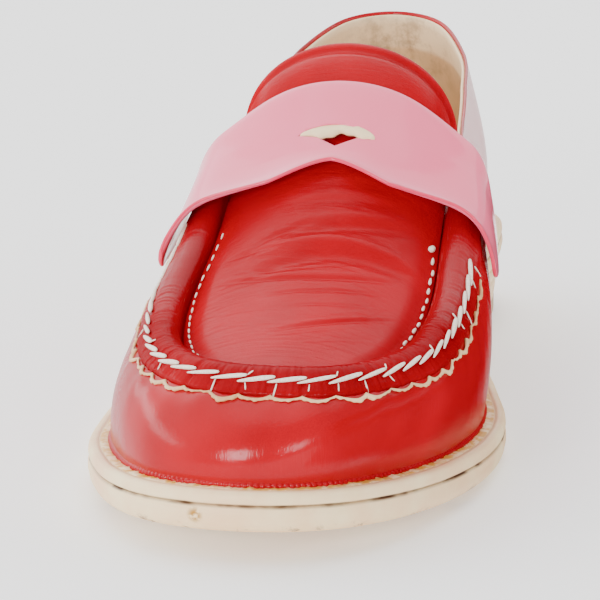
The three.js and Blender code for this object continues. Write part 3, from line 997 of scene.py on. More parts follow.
@dataclass
class SoleUnit:
    """The outsole, the welt, the heel and the insole."""

    last: Last
    corner_radius: float = 2.8
    crack_depth: float = 0.9
    crack_rise: float = 0.16
    fray: float = 0.42

    def above_tread(self, y: Points, height: float) -> Points:
        """Heights at distances from the toe tip, for a height above the underside."""
        return self.last.tread(y) + height

    def edge_rounding(
        self, low: float, high: float, bottom: float, top: float, bulge: float = 0.0
    ) -> Profile:
        """An edge profile as margins and heights.

        Args:
            low: Height of the bottom face.
            high: Height of the top face.
            bottom: Radius of the bottom corner.
            top: Radius of the top corner.
            bulge: How far the middle of the edge stands out.

        Returns:
            Pairs of margin and height from the bottom corner to the top corner.
        """
        profile = []
        for k in range(7):
            angle = math.radians(15 * k)
            profile.append((bottom * (1 - math.sin(angle)), low + bottom * (1 - math.cos(angle))))
        for share in (0.35, 0.7):
            height = low + bottom + (high - low - bottom - top) * share
            profile.append((-bulge * math.sin(math.pi * share), height))
        for k in range(5):
            angle = math.radians(22.5 * k)
            profile.append((top * (1 - math.cos(angle)), high - top * (1 - math.sin(angle))))
        return profile

    def slab(
        self, profile: Profile, heights: Callable[[Points, float], Points], rows: tuple[float, float]
    ) -> bmesh.types.BMesh:
        """A sole-shaped slab: its edge follows a profile, and its faces close on the middle line.

        Args:
            profile: Margins and heights from the bottom corner to the top corner.
            heights: Gives the height at distances from the toe tip, for a height in the profile.
            rows: The rows between which the slab lies.

        Returns:
            The closed slab.
        """
        first, final = rows
        side = np.linspace(first, final, 14 * math.ceil(final - first) + 1)
        back = np.concatenate([-side[-2:0:-1], -side[:1]]) if first == 0 else -side[-2::-1]
        places = np.concatenate([side, back])
        insets = (1.0, 0.82, 0.5)

        def ring(margin: float, height: float, inset: float) -> Points:
            """One line of the slab's section round the loop.

            Args:
                margin: How far in from the sole's edge.
                height: The height in the profile.
                inset: How far it is drawn in towards the middle line, from 0 to 1.

            Returns:
                Points, one for each place.
            """
            edge = self.last.sole_edge(places, margin, 0.0)
            middle = (edge + self.last.sole_edge(-places, margin, 0.0)) / 2
            points = edge + (middle - edge) * inset
            points[:, 2] = heights(points[:, 1], height)
            return points

        bottom = [ring(*profile[0], inset) for inset in insets]
        edge = [ring(margin, height, 0.0) for margin, height in profile]
        top = [ring(*profile[-1], inset) for inset in reversed(insets)]
        bm = formed_sheet(self.last.to_frame(np.stack([*bottom, *edge, *top], axis=1)))
        cap_ends(bm)
        return bm

    def build_outsole(self, material: bpy.types.Material) -> None:
        """Builds the outsole.

        Args:
            material: Its leather.
        """
        top = self.last.outsole_thickness + 0.1
        profile = self.edge_rounding(0.0, top, self.corner_radius, self.crack_depth, bulge=0.25)
        bm = self.slab(profile, self.above_tread, (0, LAST_ROW))
        put_piece(bm, "outsole_slab", material, ["outsole"])

    def welt_section(self) -> Profile:
        """The welt's closed section, whose groove holds the seam and whose top frays inside it.

        Returns:
            Margins from the sole's edge and heights above the tread.
        """
        low = self.last.outsole_thickness - 0.1
        high = self.last.outsole_thickness + self.last.welt_thickness
        return [
            (3.0, low),
            (self.crack_depth, low + 0.04),
            (0.30, low + 0.24),
            (0.02, low + 0.62),
            (-0.1, low + 1.2),
            (0.02, high - 1.1),
            (0.28, high - 0.55),
            (0.75, high - 0.15),
            (1.5, high + 0.02),
            (2.35, high + 0.03),
            (2.6, high - 0.3),
            (2.85, high + 0.05),
            (3.8, high + 0.12),
            (5.0, high + 0.22),
            (6.0, high + 0.1),
            (6.0, low),
            (3.0, low),
        ]

    def build_welt(self, material: bpy.types.Material) -> None:
        """Builds the welt, flush with the outsole and rounded off at its top.

        Args:
            material: Its leather.
        """
        last = self.last
        crack_point, swaying, fraying = 2, range(4, 13), range(11, 14)
        places = np.linspace(-LAST_ROW, LAST_ROW, 30 * LAST_ROW + 1)
        length = lengths_along(last.sole_edge(places, 0.0, 0.0))
        turns = 2 * math.pi * length / length[-1]
        sway = 0.05 * ripple(turns, [(2 * math.pi / n, n * 0.7) for n in (97, 151, 223)])
        frayed = ripple(turns, [(2 * math.pi / n, n * 0.3) for n in (211, 137, 331, 89)])
        crack = np.clip(0.3 + ripple(turns, [(2 * math.pi / n, n * 0.9) for n in (7, 12, 23, 41)]), 0, 1)
        columns = []
        for k, (margin, height) in enumerate(self.welt_section()):
            rise = np.zeros(len(places))
            if k in swaying:
                rise += sway
            if k in fraying:
                rise += self.fray * np.clip(frayed, -0.2, 1.0)
            if k == crack_point:
                rise += self.crack_rise * crack
            columns.append(last.sole_edge(places, margin, height + rise))
        bm = formed_sheet(last.to_frame(np.stack(columns, axis=1)))
        put_piece(bm, "welt_strip", material, ["welt"])

    def build_heel(self, stack: bpy.types.Material, lift: bpy.types.Material) -> None:
        """Builds the heel's leather stack, with a groove between its lifts, and its top lift.

        Args:
            stack: The stack's leather.
            lift: The top lift's rubber.
        """
        last = self.last
        rows = (last.row_at(last.heel_breast), LAST_ROW)
        low, high = last.top_lift_thickness, last.heel_height + 0.2
        lifts, foot_margin, lean, groove = 3, 2.1, 0.45, 0.25
        profile = [(2.4, low), (2.15, low + groove)]
        for k in range(1, lifts + 1):
            margin, height = foot_margin - lean * k, low + (high - low) * k / lifts
            profile += [(margin + 0.05, height - groove), (margin + 0.35, height), (margin, height + groove)]
        profile = profile[:-2] + [(1.1, high)]

        def stack_height(y: Points, height: float) -> Points:
            """Heights of the stack's lines, of which the highest follow the seat."""
            return low + (last.tread(y) - low) * (height - low) / (high - low)

        def level(y: Points, height: float) -> Points:
            """The same height at every distance."""
            return np.full(len(y), height)

        put_piece(self.slab(profile, stack_height, rows), "heel_lifts", stack, ["heel_stack"])
        rounded = self.edge_rounding(0.0, last.top_lift_thickness - 0.05, 0.6, 0.35)
        rubber = [(margin + foot_margin, height) for margin, height in rounded]
        put_piece(self.slab(rubber, level, rows), "top_lift", lift, ["heel_top_lift"])

    def build_insole(self, material: bpy.types.Material) -> None:
        """Builds the insole, with a rounded upper edge.

        Args:
            material: Its leather.
        """
        last = self.last
        low = last.outsole_thickness + last.clearance
        margin = last.welt_margin + last.upper_wall + 2 * last.clearance
        profile = [(margin + m, low + h) for m, h in ((0, 0), (0, 1.9), (0.25, 2.5), (0.9, 2.8))]
        bm = self.slab(profile, self.above_tread, (0, LAST_ROW))
        put_piece(bm, "insole_sock", material, ["insole"])


@dataclass(frozen=True)
class Crease:
    """A soft trough or ridge across the apron, as a bowed and slanted line.

    Its middle is at x and y and it reaches half to each side. At its ends it lies bow further back.
    It runs back by slant for each millimetre to the inner side. Its depth is below the leather when
    positive and above when negative.
    """

    x: float
    y: float
    half: float
    slant: float
    bow: float
    depth: float
    width: float

    def height(self, x: Points, y: Points) -> Points:
        """How far the crease moves the leather.

        Args:
            x: Places across the apron, in millimetres.
            y: Places along it, in millimetres from the toe tip.

        Returns:
            Heights in millimetres.
        """
        across = (x - self.x) / self.half
        line = self.y + self.slant * (x - self.x) + self.bow * across ** 2
        fade = np.clip(1 - across ** 2, 0, 1) ** 0.9
        return -self.depth * fade * np.exp(-(((y - line) / self.width) ** 2))


APRON_CREASES: tuple[Crease, ...] = (
    Crease(12.9, 52.2, 14.0, 0.62, 2.3, 0.52, 0.75),
    Crease(13.9, 54.6, 12.0, 0.60, 2.0, -0.26, 1.3),
    Crease(8.0, 46.4, 11.0, 0.50, 1.5, 0.20, 0.6),
    Crease(13.0, 43.3, 9.0, 0.55, 0.5, 0.16, 0.6),
    Crease(-8.2, 50.5, 11.5, -0.42, 0.5, 0.16, 0.6),
    Crease(-9.5, 57.0, 11.0, -0.20, 1.0, 0.14, 0.7),
    Crease(12.0, 59.8, 13.0, 0.35, 1.8, 0.22, 0.6),
    Crease(8.0, 65.1, 14.0, 0.26, 1.0, 0.42, 0.7),
    Crease(7.0, 62.4, 13.0, 0.25, 1.2, -0.18, 1.2),
    Crease(2.6, 69.6, 23.0, 0.07, 6.6, 0.55, 0.75),
    Crease(2.6, 71.6, 21.0, 0.07, 6.2, -0.24, 1.1),
    Crease(0.0, 73.6, 17.0, 0.10, 5.0, 0.26, 0.7),
    Crease(8.9, 79.2, 20.0, 0.22, -3.0, 1.45, 2.6),
    Crease(9.4, 83.6, 22.0, 0.08, -1.6, -1.05, 2.1),
    Crease(-5.0, 85.6, 8.0, 0.39, 0.0, 0.42, 0.9),
    Crease(-11.3, 81.4, 7.0, -0.09, 0.0, 0.40, 0.9),
    Crease(11.1, 88.4, 17.0, 0.33, 1.5, 0.95, 1.9),
    Crease(11.0, 91.8, 15.0, 0.28, 1.4, -0.38, 1.5),
    Crease(8.4, 95.4, 15.0, 0.21, 0.9, 0.48, 1.6),
    Crease(9.0, 99.8, 14.0, 0.18, 1.0, 0.30, 1.6),
)


@dataclass
class Upper:
    """The vamp and quarters, their lining, the puckered apron seam and its stitches."""

    last: Last
    patent_share: float = 0.55
    columns_per_row: int = 20
    seam_end: float = 8.6
    wall_foot: float = -0.9
    topline_sink: float = 0.35
    seam_sink: float = 3.6
    stitches_from: float = -6.9
    stitches_to: float = 7.35
    raw_edge_from: float = -6.7
    raw_edge_to: float = 7.2
    stitch_pitch: float = 6.5
    inner_pitch: float = 3.9
    gather_pitch: float = 1.55

    def __post_init__(self) -> None:
        """Measures the seam's length from the toe tip, for places on it."""
        half_count = 600
        self.seam_places = np.linspace(-self.seam_end, self.seam_end, 2 * half_count + 1)
        crest = self.last.beside_top(self.seam_places, self.last.seam_reach * 0.6, 0.0)
        self.seam_lengths = lengths_along(crest)
        self.seam_lengths -= self.seam_lengths[half_count]

    def ring_places(self) -> Points:
        """Places all round the loop, evenly by row."""
        return np.linspace(-LAST_ROW, LAST_ROW, 2 * LAST_ROW * self.columns_per_row + 1)

    def wall_swell(self, places: Points, v: float) -> Points:
        """Small swells of the vamp: puckers under the seam and a crease at the ball.

        Args:
            places: Places on the loop.
            v: How far up the wall.

        Returns:
            How far the wall moves out, in millimetres.
        """
        length = self.length_at(places)
        front = self.last.loop(places)[:, 7]
        pucker = ripple(length, [(11.8, 0.4), (7.3, 1.9), (17.0, 2.6)]) * front
        high = smoothstep(v, 0.45, 0.95) * (1 - 0.35 * float(smoothstep(v, 0.93, 1.0)))
        flex = np.exp(-((np.abs(places) - 6.6 - 1.4 * v) / 0.35) ** 2)
        flex -= 0.7 * np.exp(-((np.abs(places) - 7.1 - 1.2 * v) / 0.28) ** 2)
        waist = np.exp(-((np.abs(places) - 10.6 + 0.8 * v) / 0.7) ** 2)
        middle = math.sin(math.pi * min(max(v, 0.0), 1.0))
        return 0.21 * pucker * high + 0.22 * flex * middle - 0.25 * waist * middle

    def layer(self, outer_depth: float, inner_depth: float, low: float, steps: int) -> Points:
        """A closed layer of the wall, whose top rounds over at the topline and hides in the seam.

        Args:
            outer_depth: Depth of the layer's outer face below the wall's face.
            inner_depth: Depth of its inner face.
            low: Where the layer starts, as a height up the wall.
            steps: How many steps go up the wall.

        Returns:
            The layer's points by place, step and axis.
        """
        places = self.ring_places()
        seam = self.last.loop(places)[:, 7]
        heights = np.concatenate([[low], np.linspace(0.0, 1.0, steps) ** 0.9])
        outer, inner = [], []
        for v in heights:
            point, normal = self.last.wall(places, float(v))
            swell = self.wall_swell(places, float(v))[:, None]
            outer.append(point + normal * (swell - outer_depth))
            inner.append(point + normal * (swell - inner_depth))
        edge = []
        gap = inner_depth - outer_depth
        top_out = self.last.outward(places, 2)
        for k in range(1, 8):
            angle = math.pi * k / 8
            out = outer[-1] * (1 + math.cos(angle)) / 2 + inner[-1] * (1 - math.cos(angle)) / 2
            rise = 0.5 * gap * math.sin(angle) * 1.3
            tuck = top_out * (-seam * 0.5 * gap * math.sin(angle))[:, None]
            edge.append(out + tuck + UP * (rise * (1 - seam))[:, None])
        return np.stack([*outer, *edge, *reversed(inner), outer[0]], axis=1)

    def build_shell(self, material: bpy.types.Material) -> None:
        """Builds the patent shell of the vamp and quarters.

        Args:
            material: Its leather.
        """
        depth = self.patent_share * self.last.upper_wall
        bm = formed_sheet(self.last.to_frame(self.layer(0.0, depth, self.wall_foot, 40)))
        put_piece(bm, "patent_vamp_and_quarters", material, ["upper"])

    def build_lining(self, material: bpy.types.Material) -> None:
        """Builds the lining, a little lower than the patent at the topline.

        Its UV map's second number is the distance below the top, in millimetres.

        Args:
            material: Its leather.
        """
        last = self.last
        places = self.ring_places()
        seam = last.loop(places)[:, 7]
        heights = np.concatenate([[self.wall_foot], np.linspace(0.0, 1.0, 26)])
        outer, inner = [], []
        depth = self.patent_share * last.upper_wall
        for v in heights:
            point, normal = last.wall(places, float(v))
            sink = (self.topline_sink + self.seam_sink * seam)[:, None] * UP * float(smoothstep(v, 0.7, 1.0))
            outer.append(point - normal * (depth - 0.1) - sink)
            inner.append(point - normal * last.upper_wall - sink)
        lip = (outer[-1] + inner[-1]) / 2 + self.topline_sink * UP
        rings = np.stack([*outer, lip, *reversed(inner), outer[0]], axis=1)
        bm = formed_sheet(last.to_frame(rings))
        layer = bm.loops.layers.uv.active
        count = rings.shape[1] - 1
        reach = np.mean(np.linalg.norm(np.diff(rings[:, len(outer):-1], axis=1), axis=2).sum(axis=1))
        for face in bm.faces:
            for corner in face.loops:
                step = corner[layer].uv.y * count
                corner[layer].uv.y = abs(step - len(outer)) / (count - len(outer)) * reach
        put_piece(bm, "collar_lining", material)

    def seam_section(self) -> Profile:
        """The seam roll's open section, from its outer foot over the crest and back underneath.

        Returns:
            Steps outwards and upwards from the crest, in millimetres.
        """
        last = self.last
        reach, drop = last.seam_reach, last.seam_drop
        inner, deep = last.seam_inner_reach, last.seam_inner_drop
        return [
            (reach + 0.55, -drop - 0.5),
            (reach + 0.62, -drop + 0.1),
            (reach + 0.35, -drop + 0.7),
            (reach - 0.35, -drop + 1.35),
            (reach * 0.78, -drop * 0.55),
            (reach * 0.62, -drop * 0.33),
            (reach * 0.42, -drop * 0.13),
            (reach * 0.18, -drop * 0.02),
            (-inner * 0.12, 0.0),
            (-inner * 0.42, -drop * 0.06),
            (-inner * 0.70, -drop * 0.17),
            (-inner * 0.92, -drop * 0.36),
            (-inner * 1.02, -drop * 0.62),
            (-inner * 1.03, -drop * 0.92),
            (-inner - 1.6, -last.apron_recess - 1.0),
            (-inner - 1.0, -deep - 0.6),
            (0.0, -deep - 1.2),
            (reach * 0.6, -drop - 1.6),
        ]

    def seam_pucker(self, length: Points, around: float) -> Points:
        """How far the gathers of the seam roll stand out, in millimetres.

        Args:
            length: Distances along the seam.
            around: How far round the section from its outer foot, from 0 to 1.

        Returns:
            Heights.
        """
        toe = 1 - 0.75 * smoothstep(np.abs(length), 58.0, 82.0)
        shown = min(1.0, 0.3 + 5 * around, 5 * (1 - around)) * toe
        pull = np.abs(np.sin(math.pi * length / self.stitch_pitch)) ** 0.7 - 0.6
        fine = ripple(length + 1.2 * around, [(2.6, 0.5), (1.9, 1.3), (3.7, 2.9), (1.45, 0.2)])
        patchy = 0.65 + 0.35 * ripple(length, [(31.0, 0.8), (19.0, 2.2)])
        outer = 1 - float(smoothstep(around, 0.25, 0.7))
        return shown * (0.55 * pull * outer + 0.32 * fine * patchy * (0.35 + 0.65 * outer))

    def seam_point(self, places: Points, step: tuple[float, float]) -> Points:
        """Points beside the seam's crest, that sink and narrow as the seam ends under the strap.

        The foot that lies under the apron keeps its reach.

        Args:
            places: Places on the loop.
            step: How far outwards and upwards from the crest, in millimetres.

        Returns:
            Points, one for each place.
        """
        held = step[0] < -self.last.seam_inner_reach - 0.5
        seam = 1.0 if held else np.clip(self.last.loop(places)[:, 7], 0.35, 1)
        return self.last.beside_top(places, step[0] * seam, step[1] * seam)

    def build_seam(self, material: bpy.types.Material) -> None:
        """Builds the puckered roll round the apron.

        Args:
            material: Its leather.
        """
        length = np.linspace(self.seam_lengths[0], self.seam_lengths[-1], 2400)
        places = self.place_at(length)
        middle = self.seam_point(places, (1.0, -self.last.seam_drop * 0.6))
        shown_points = 14
        rings = []
        for k, step in enumerate(self.seam_section()):
            ring = self.seam_point(places, step)
            around = k / shown_points if k <= shown_points else 0.0
            rings.append(ring + unit(ring - middle) * self.seam_pucker(length, around)[:, None])
        bm = formed_sheet(self.last.to_frame(np.stack([*rings, rings[0]], axis=1)))
        cap_ends(bm)
        put_piece(bm, "apron_seam_roll", material)

    def place_at(self, length: Points | float) -> Points:
        """Places on the loop at distances along the seam from the toe tip."""
        return np.interp(length, self.seam_lengths, self.seam_places)

    def length_at(self, places: Points | float) -> Points:
        """Distances along the seam from the toe tip at places on the loop."""
        return np.interp(places, self.seam_places, self.seam_lengths)

    def stitch(
        self,
        bm: bmesh.types.BMesh,
        start: Points,
        end: Points,
        radius: float,
        fullness: float = 0.18,
        taper: float = 0.0,
    ) -> None:
        """Adds one stitch, a plump thread between two points.

        Args:
            bm: The mesh that it goes into.
            start: Its first end, in millimetres.
            end: Its other end.
            radius: Its thickness in the middle.
            fullness: How far its body stays thick towards the ends, from 0 to about 0.3.
            taper: How much thinner it is at its first end than at its other end, from 0 to 1.
        """
        first, second = (Vector(p) for p in self.last.to_frame(np.array([start, end])))
        run = second - first
        turn = run.to_track_quat("Z", "Y").to_matrix().to_4x4()
        size = Matrix.Diagonal((radius * MILLIMETRE, radius * MILLIMETRE, run.length / 2, 1.0))
        made = bmesh.ops.create_uvsphere(bm, u_segments=8, v_segments=8, radius=1.0)["verts"]
        for vert in made:
            swell = max(1 - vert.co.z ** 2, 0.001) ** -fullness * (1 + 0.5 * taper * vert.co.z)
            vert.co.x *= swell
            vert.co.y *= swell
        bmesh.ops.transform(bm, matrix=Matrix.Translation((first + second) / 2) @ turn @ size, verts=made)

    def beside_seam(self, length: float, out: float, up: float) -> Points:
        """A point beside the seam's crest.

        Args:
            length: The distance along the seam from the toe tip.
            out: How far outwards, as a share of the roll's reach.
            up: How far upwards, as a share of the roll's drop.

        Returns:
            The point.
        """
        place = np.array([self.place_at(length)])
        return self.seam_point(place, (self.last.seam_reach * out, self.last.seam_drop * up))[0]

    def numbers(self, pitch: float) -> range:
        """The numbers of the stitches that fit on the seam, counted from the toe tip.

        Args:
            pitch: The distance from one stitch to the next, in millimetres.

        Returns:
            The numbers, negative on the inner side.
        """
        first, final = self.length_at(np.array([self.stitches_from, self.stitches_to])) / pitch
        return range(math.ceil(first), math.floor(final))

    def add_rope(self, bm: bmesh.types.BMesh, uneven: np.random.Generator) -> None:
        """Adds the rope of slanted stitches outside the roll, with its thin tie threads.

        Args:
            bm: The mesh that they go into.
            uneven: Where their small differences come from.
        """
        for k in self.numbers(self.stitch_pitch):
            slip = uneven.uniform(-1, 1, 5)
            near = (k - 0.16 + 0.05 * slip[0]) * self.stitch_pitch
            far = (k + 1.16 + 0.04 * slip[1]) * self.stitch_pitch
            tuck = float(smoothstep(self.place_at(near), 5.3, 6.3))
            high = self.beside_seam(near, 0.68 + 0.24 * tuck, -0.25 - 0.45 * tuck + 0.03 * slip[2])
            low = self.beside_seam(far, 0.86 + 0.12 * tuck, -0.50 - 0.35 * tuck + 0.03 * slip[3])
            self.stitch(bm, high, low, 0.52 + 0.07 * slip[4], 0.14, -0.45)
            if uneven.random() < 0.6:
                knot = self.beside_seam(near + 0.5 * slip[2], 0.88, -0.52)
                foot = self.beside_seam(near + 1.1 * slip[1], 1.08 + 0.08 * slip[0], -0.98 - 0.14 * slip[0])
                self.stitch(bm, knot, foot, 0.17 + 0.04 * slip[0])
            if uneven.random() < 0.45 and tuck == 0:
                spike = self.beside_seam(near - 0.7 + 0.5 * slip[3], 0.50, -0.09)
                self.stitch(bm, high, spike, 0.17)

    def add_inner_row(self, bm: bmesh.types.BMesh, uneven: np.random.Generator) -> None:
        """Adds the short stitches inside the roll, on the apron along its sides.

        Args:
            bm: The mesh that they go into.
            uneven: Where their small differences come from.
        """
        for k in self.numbers(self.inner_pitch):
            slip = uneven.uniform(-1, 1, 3)
            length = k * self.inner_pitch
            places = [self.place_at(length + 0.3 * slip[0]), self.place_at(length + 0.62 * self.inner_pitch)]
            if min(abs(place) for place in places) > 2.6:
                inward = 1.5 if places[0] > 0 else 0.9
                inward += 0.25 * slip[1]
                ends = [self.last.apron_point(place, inward) + 0.12 * UP for place in places]
                shown = 0.24 if places[0] > 0 else 0.40 - 0.05 * slip[2]
                self.stitch(bm, ends[0], ends[1], shown if abs(places[0]) > 3.6 else 0.2, 0.1, 0.5)
            else:
                near = self.beside_seam(length + 0.4 * slip[0], -0.60, -0.37)
                far = self.beside_seam(length + 0.3 * self.inner_pitch, -0.56, -0.33)
                self.stitch(bm, near, far, 0.2)

    def build_stitches(self, material: bpy.types.Material) -> None:
        """Builds both rows of stitches and the knot at the inner row's end.

        Args:
            material: The thread.
        """
        bm = bmesh.new()
        uneven = np.random.default_rng(4)
        self.add_rope(bm, uneven)
        self.add_inner_row(bm, uneven)
        knot, half = self.last.apron_point(-6.95, 1.6) + 0.3 * UP, np.array([0.3, 1.0, 0.1])
        self.stitch(bm, knot - half, knot + half, 0.85, 0.25)
        put_piece(bm, "apron_stitches", material)

    def build_raw_edge(self, material: bpy.types.Material) -> None:
        """Builds the raw edge of the vamp, pulled into small scallops below the stitches.

        Args:
            material: Its leather.
        """
        last = self.last
        start, limit = self.length_at(np.array([self.raw_edge_from, self.raw_edge_to]))
        length = np.linspace(start, limit, 1800)
        places = self.place_at(length)
        sag = np.abs(np.sin(math.pi * length / self.stitch_pitch)) ** 0.8
        odd = ripple(length, [(23.0, 0.2), (9.7, 1.4), (14.3, 4.0)])
        fray = ripple(length, [(2.3, 0.6), (3.4, 2.1), (1.4, 0.9)])
        sink = 1.15 + (1.15 + 0.6 * odd) * sag + 0.3 * odd + 0.14 * fray
        thick = np.clip(0.50 + 0.30 * odd - 0.08 * sag + 0.14 * fray, 0.22, 1.0)
        chord = np.linalg.norm(last.wall(places, 1.0)[0] - last.wall(places, 0.0)[0], axis=1)
        rings = []
        for k in range(9):
            angle = 2 * math.pi * k / 8
            point, normal = last.wall(places, 1 - (sink + thick * math.sin(angle)) / (1.14 * chord))
            rings.append(point + normal * (0.3 + 0.75 * thick * math.cos(angle))[:, None])
        bm = formed_sheet(last.to_frame(np.stack(rings, axis=1)))
        cap_ends(bm)
        put_piece(bm, "raw_leather_edge", material)

    def build_foot_scallops(self, material: bpy.types.Material) -> None:
        """Builds the small gathers where the upper is pulled under the welt.

        Args:
            material: Its leather.
        """
        last = self.last
        places = np.linspace(-LAST_ROW, LAST_ROW, 3001)
        length = lengths_along(last.sole_edge(places, 0.0, 0.0))
        pitch = length[-1] / round(length[-1] / self.gather_pitch)
        tooth = np.abs(np.sin(math.pi * length / pitch))
        uneven = 0.5 + 0.5 * ripple(length, [(length[-1] / 31, 0.0), (length[-1] / 17, 1.0)])
        base = last.outsole_thickness + last.welt_thickness
        margin = last.welt_margin + last.clearance
        rings = []
        for out, rise in ((-0.7, -0.1), (0.25, 0.0), (0.42, 0.32), (0.26, 0.85), (0.05, 1.5), (-0.7, 1.9)):
            push = out + (0.45 * tooth * (0.4 + 0.6 * uneven) if out > 0.1 else 0.0)
            drop = -0.3 * tooth * uneven if rise < 0.5 else 0.0
            rings.append(last.sole_edge(places, margin - push, base + rise + drop))
        rings.append(rings[0])
        bm = formed_sheet(last.to_frame(np.stack(rings, axis=1)))
        put_piece(bm, "foot_gathers", material)


@dataclass
class ApronTongue:
    """The wrinkled apron that runs on under the strap as the tongue, with a rolled top edge."""

    last: Last
    front_row: float = 0.02
    roll_row: float = 8.7
    end_row: float = 9.333
    roll_width: float = 3.7
    roll_height: float = 1.1
    channel_width: float = 5.6
    channel_depth: float = 0.7
    groove_depth: float = 0.85
    fine_height: float = 0.075

    def relief(self, x: Points, y: Points, from_end: float) -> Points:
        """The apron's creases and the tongue's rolled edge, along the normal.

        Args:
            x: Places across, in millimetres.
            y: Places along, in millimetres from the toe tip.
            from_end: The distance from the tongue's end, in millimetres.

        Returns:
            Heights in millimetres.
        """
        height = sum(crease.height(x, y) for crease in APRON_CREASES)
        fine = ripple(y + 0.10 * np.abs(x - 6) + 0.6 * np.sin(x / 9.0), [(3.1, 0.2), (2.3, 1.7), (4.7, 3.1)])
        patch = 0.5 + 0.5 * np.sin(x / 7.3 + 1.0) * np.sin(y / 11.0)
        height += self.fine_height * fine * patch * smoothstep(y, 24, 40) * (1 - smoothstep(y, 92, 104))
        roll = math.sqrt(max(0.0, 1 - ((from_end - self.roll_width / 2) / (self.roll_width / 2)) ** 2))
        groove = math.exp(-(((from_end - self.roll_width - 1.3) / 1.5) ** 2))
        return height + self.roll_height * roll - self.groove_depth * groove

    def channel(self, row: float, inside: Points) -> Points:
        """How far the leather dips beside the seam.

        Args:
            row: The row along the apron.
            inside: How far in from the edges, in millimetres.

        Returns:
            Depths in millimetres.
        """
        reach = float(smoothstep(row, 2.0, 4.0) * (1 - smoothstep(row, 6.0, 6.9)))
        rise = smoothstep(inside, 0.35 * self.channel_width, self.channel_width)
        return self.channel_depth * reach * (1 - rise)

    def build(self, material: bpy.types.Material) -> None:
        """Builds the apron and tongue as one sheet with thickness.

        Its UV map holds the distance from the nearer edge, in millimetres, and the share of the rows.

        Args:
            material: Its leather.
        """
        last = self.last
        creased = np.linspace(self.front_row, self.roll_row, 420)
        rolled = np.linspace(self.roll_row, self.end_row, 60)
        rows = np.concatenate([creased, rolled[1:]])
        across = np.linspace(-1, 1, 91)
        grid = np.stack([last.apron_line(float(row), across) for row in rows], axis=1)
        normal = unit(np.cross(np.gradient(grid, axis=0), np.gradient(grid, axis=1)))
        from_end = lengths_along(grid[len(across) // 2, ::-1])[::-1]
        marks = np.zeros((len(across), len(rows), 2))
        for j, row in enumerate(rows):
            half = 0.5 * np.linalg.norm(grid[-1, j] - grid[0, j])
            marks[:, j, 0] = inside = half * (1 - np.abs(np.sin(across * math.pi / 2)))
            marks[:, j, 1] = row / self.end_row
            height = self.relief(grid[:, j, 0], grid[:, j, 1], float(from_end[j]))
            grid[:, j] += normal[:, j] * (height - self.channel(row, inside))[:, None]
        bm = formed_sheet(last.to_frame(grid), marks)
        bmesh.ops.recalc_face_normals(bm, faces=bm.faces)
        if sum(face.normal.z for face in bm.faces) < 0:
            bmesh.ops.reverse_faces(bm, faces=bm.faces)
        bmesh.ops.solidify(bm, geom=bm.faces[:], thickness=last.apron_thickness * MILLIMETRE)
        put_piece(bm, "apron_and_tongue", material, ["apron_tongue"])


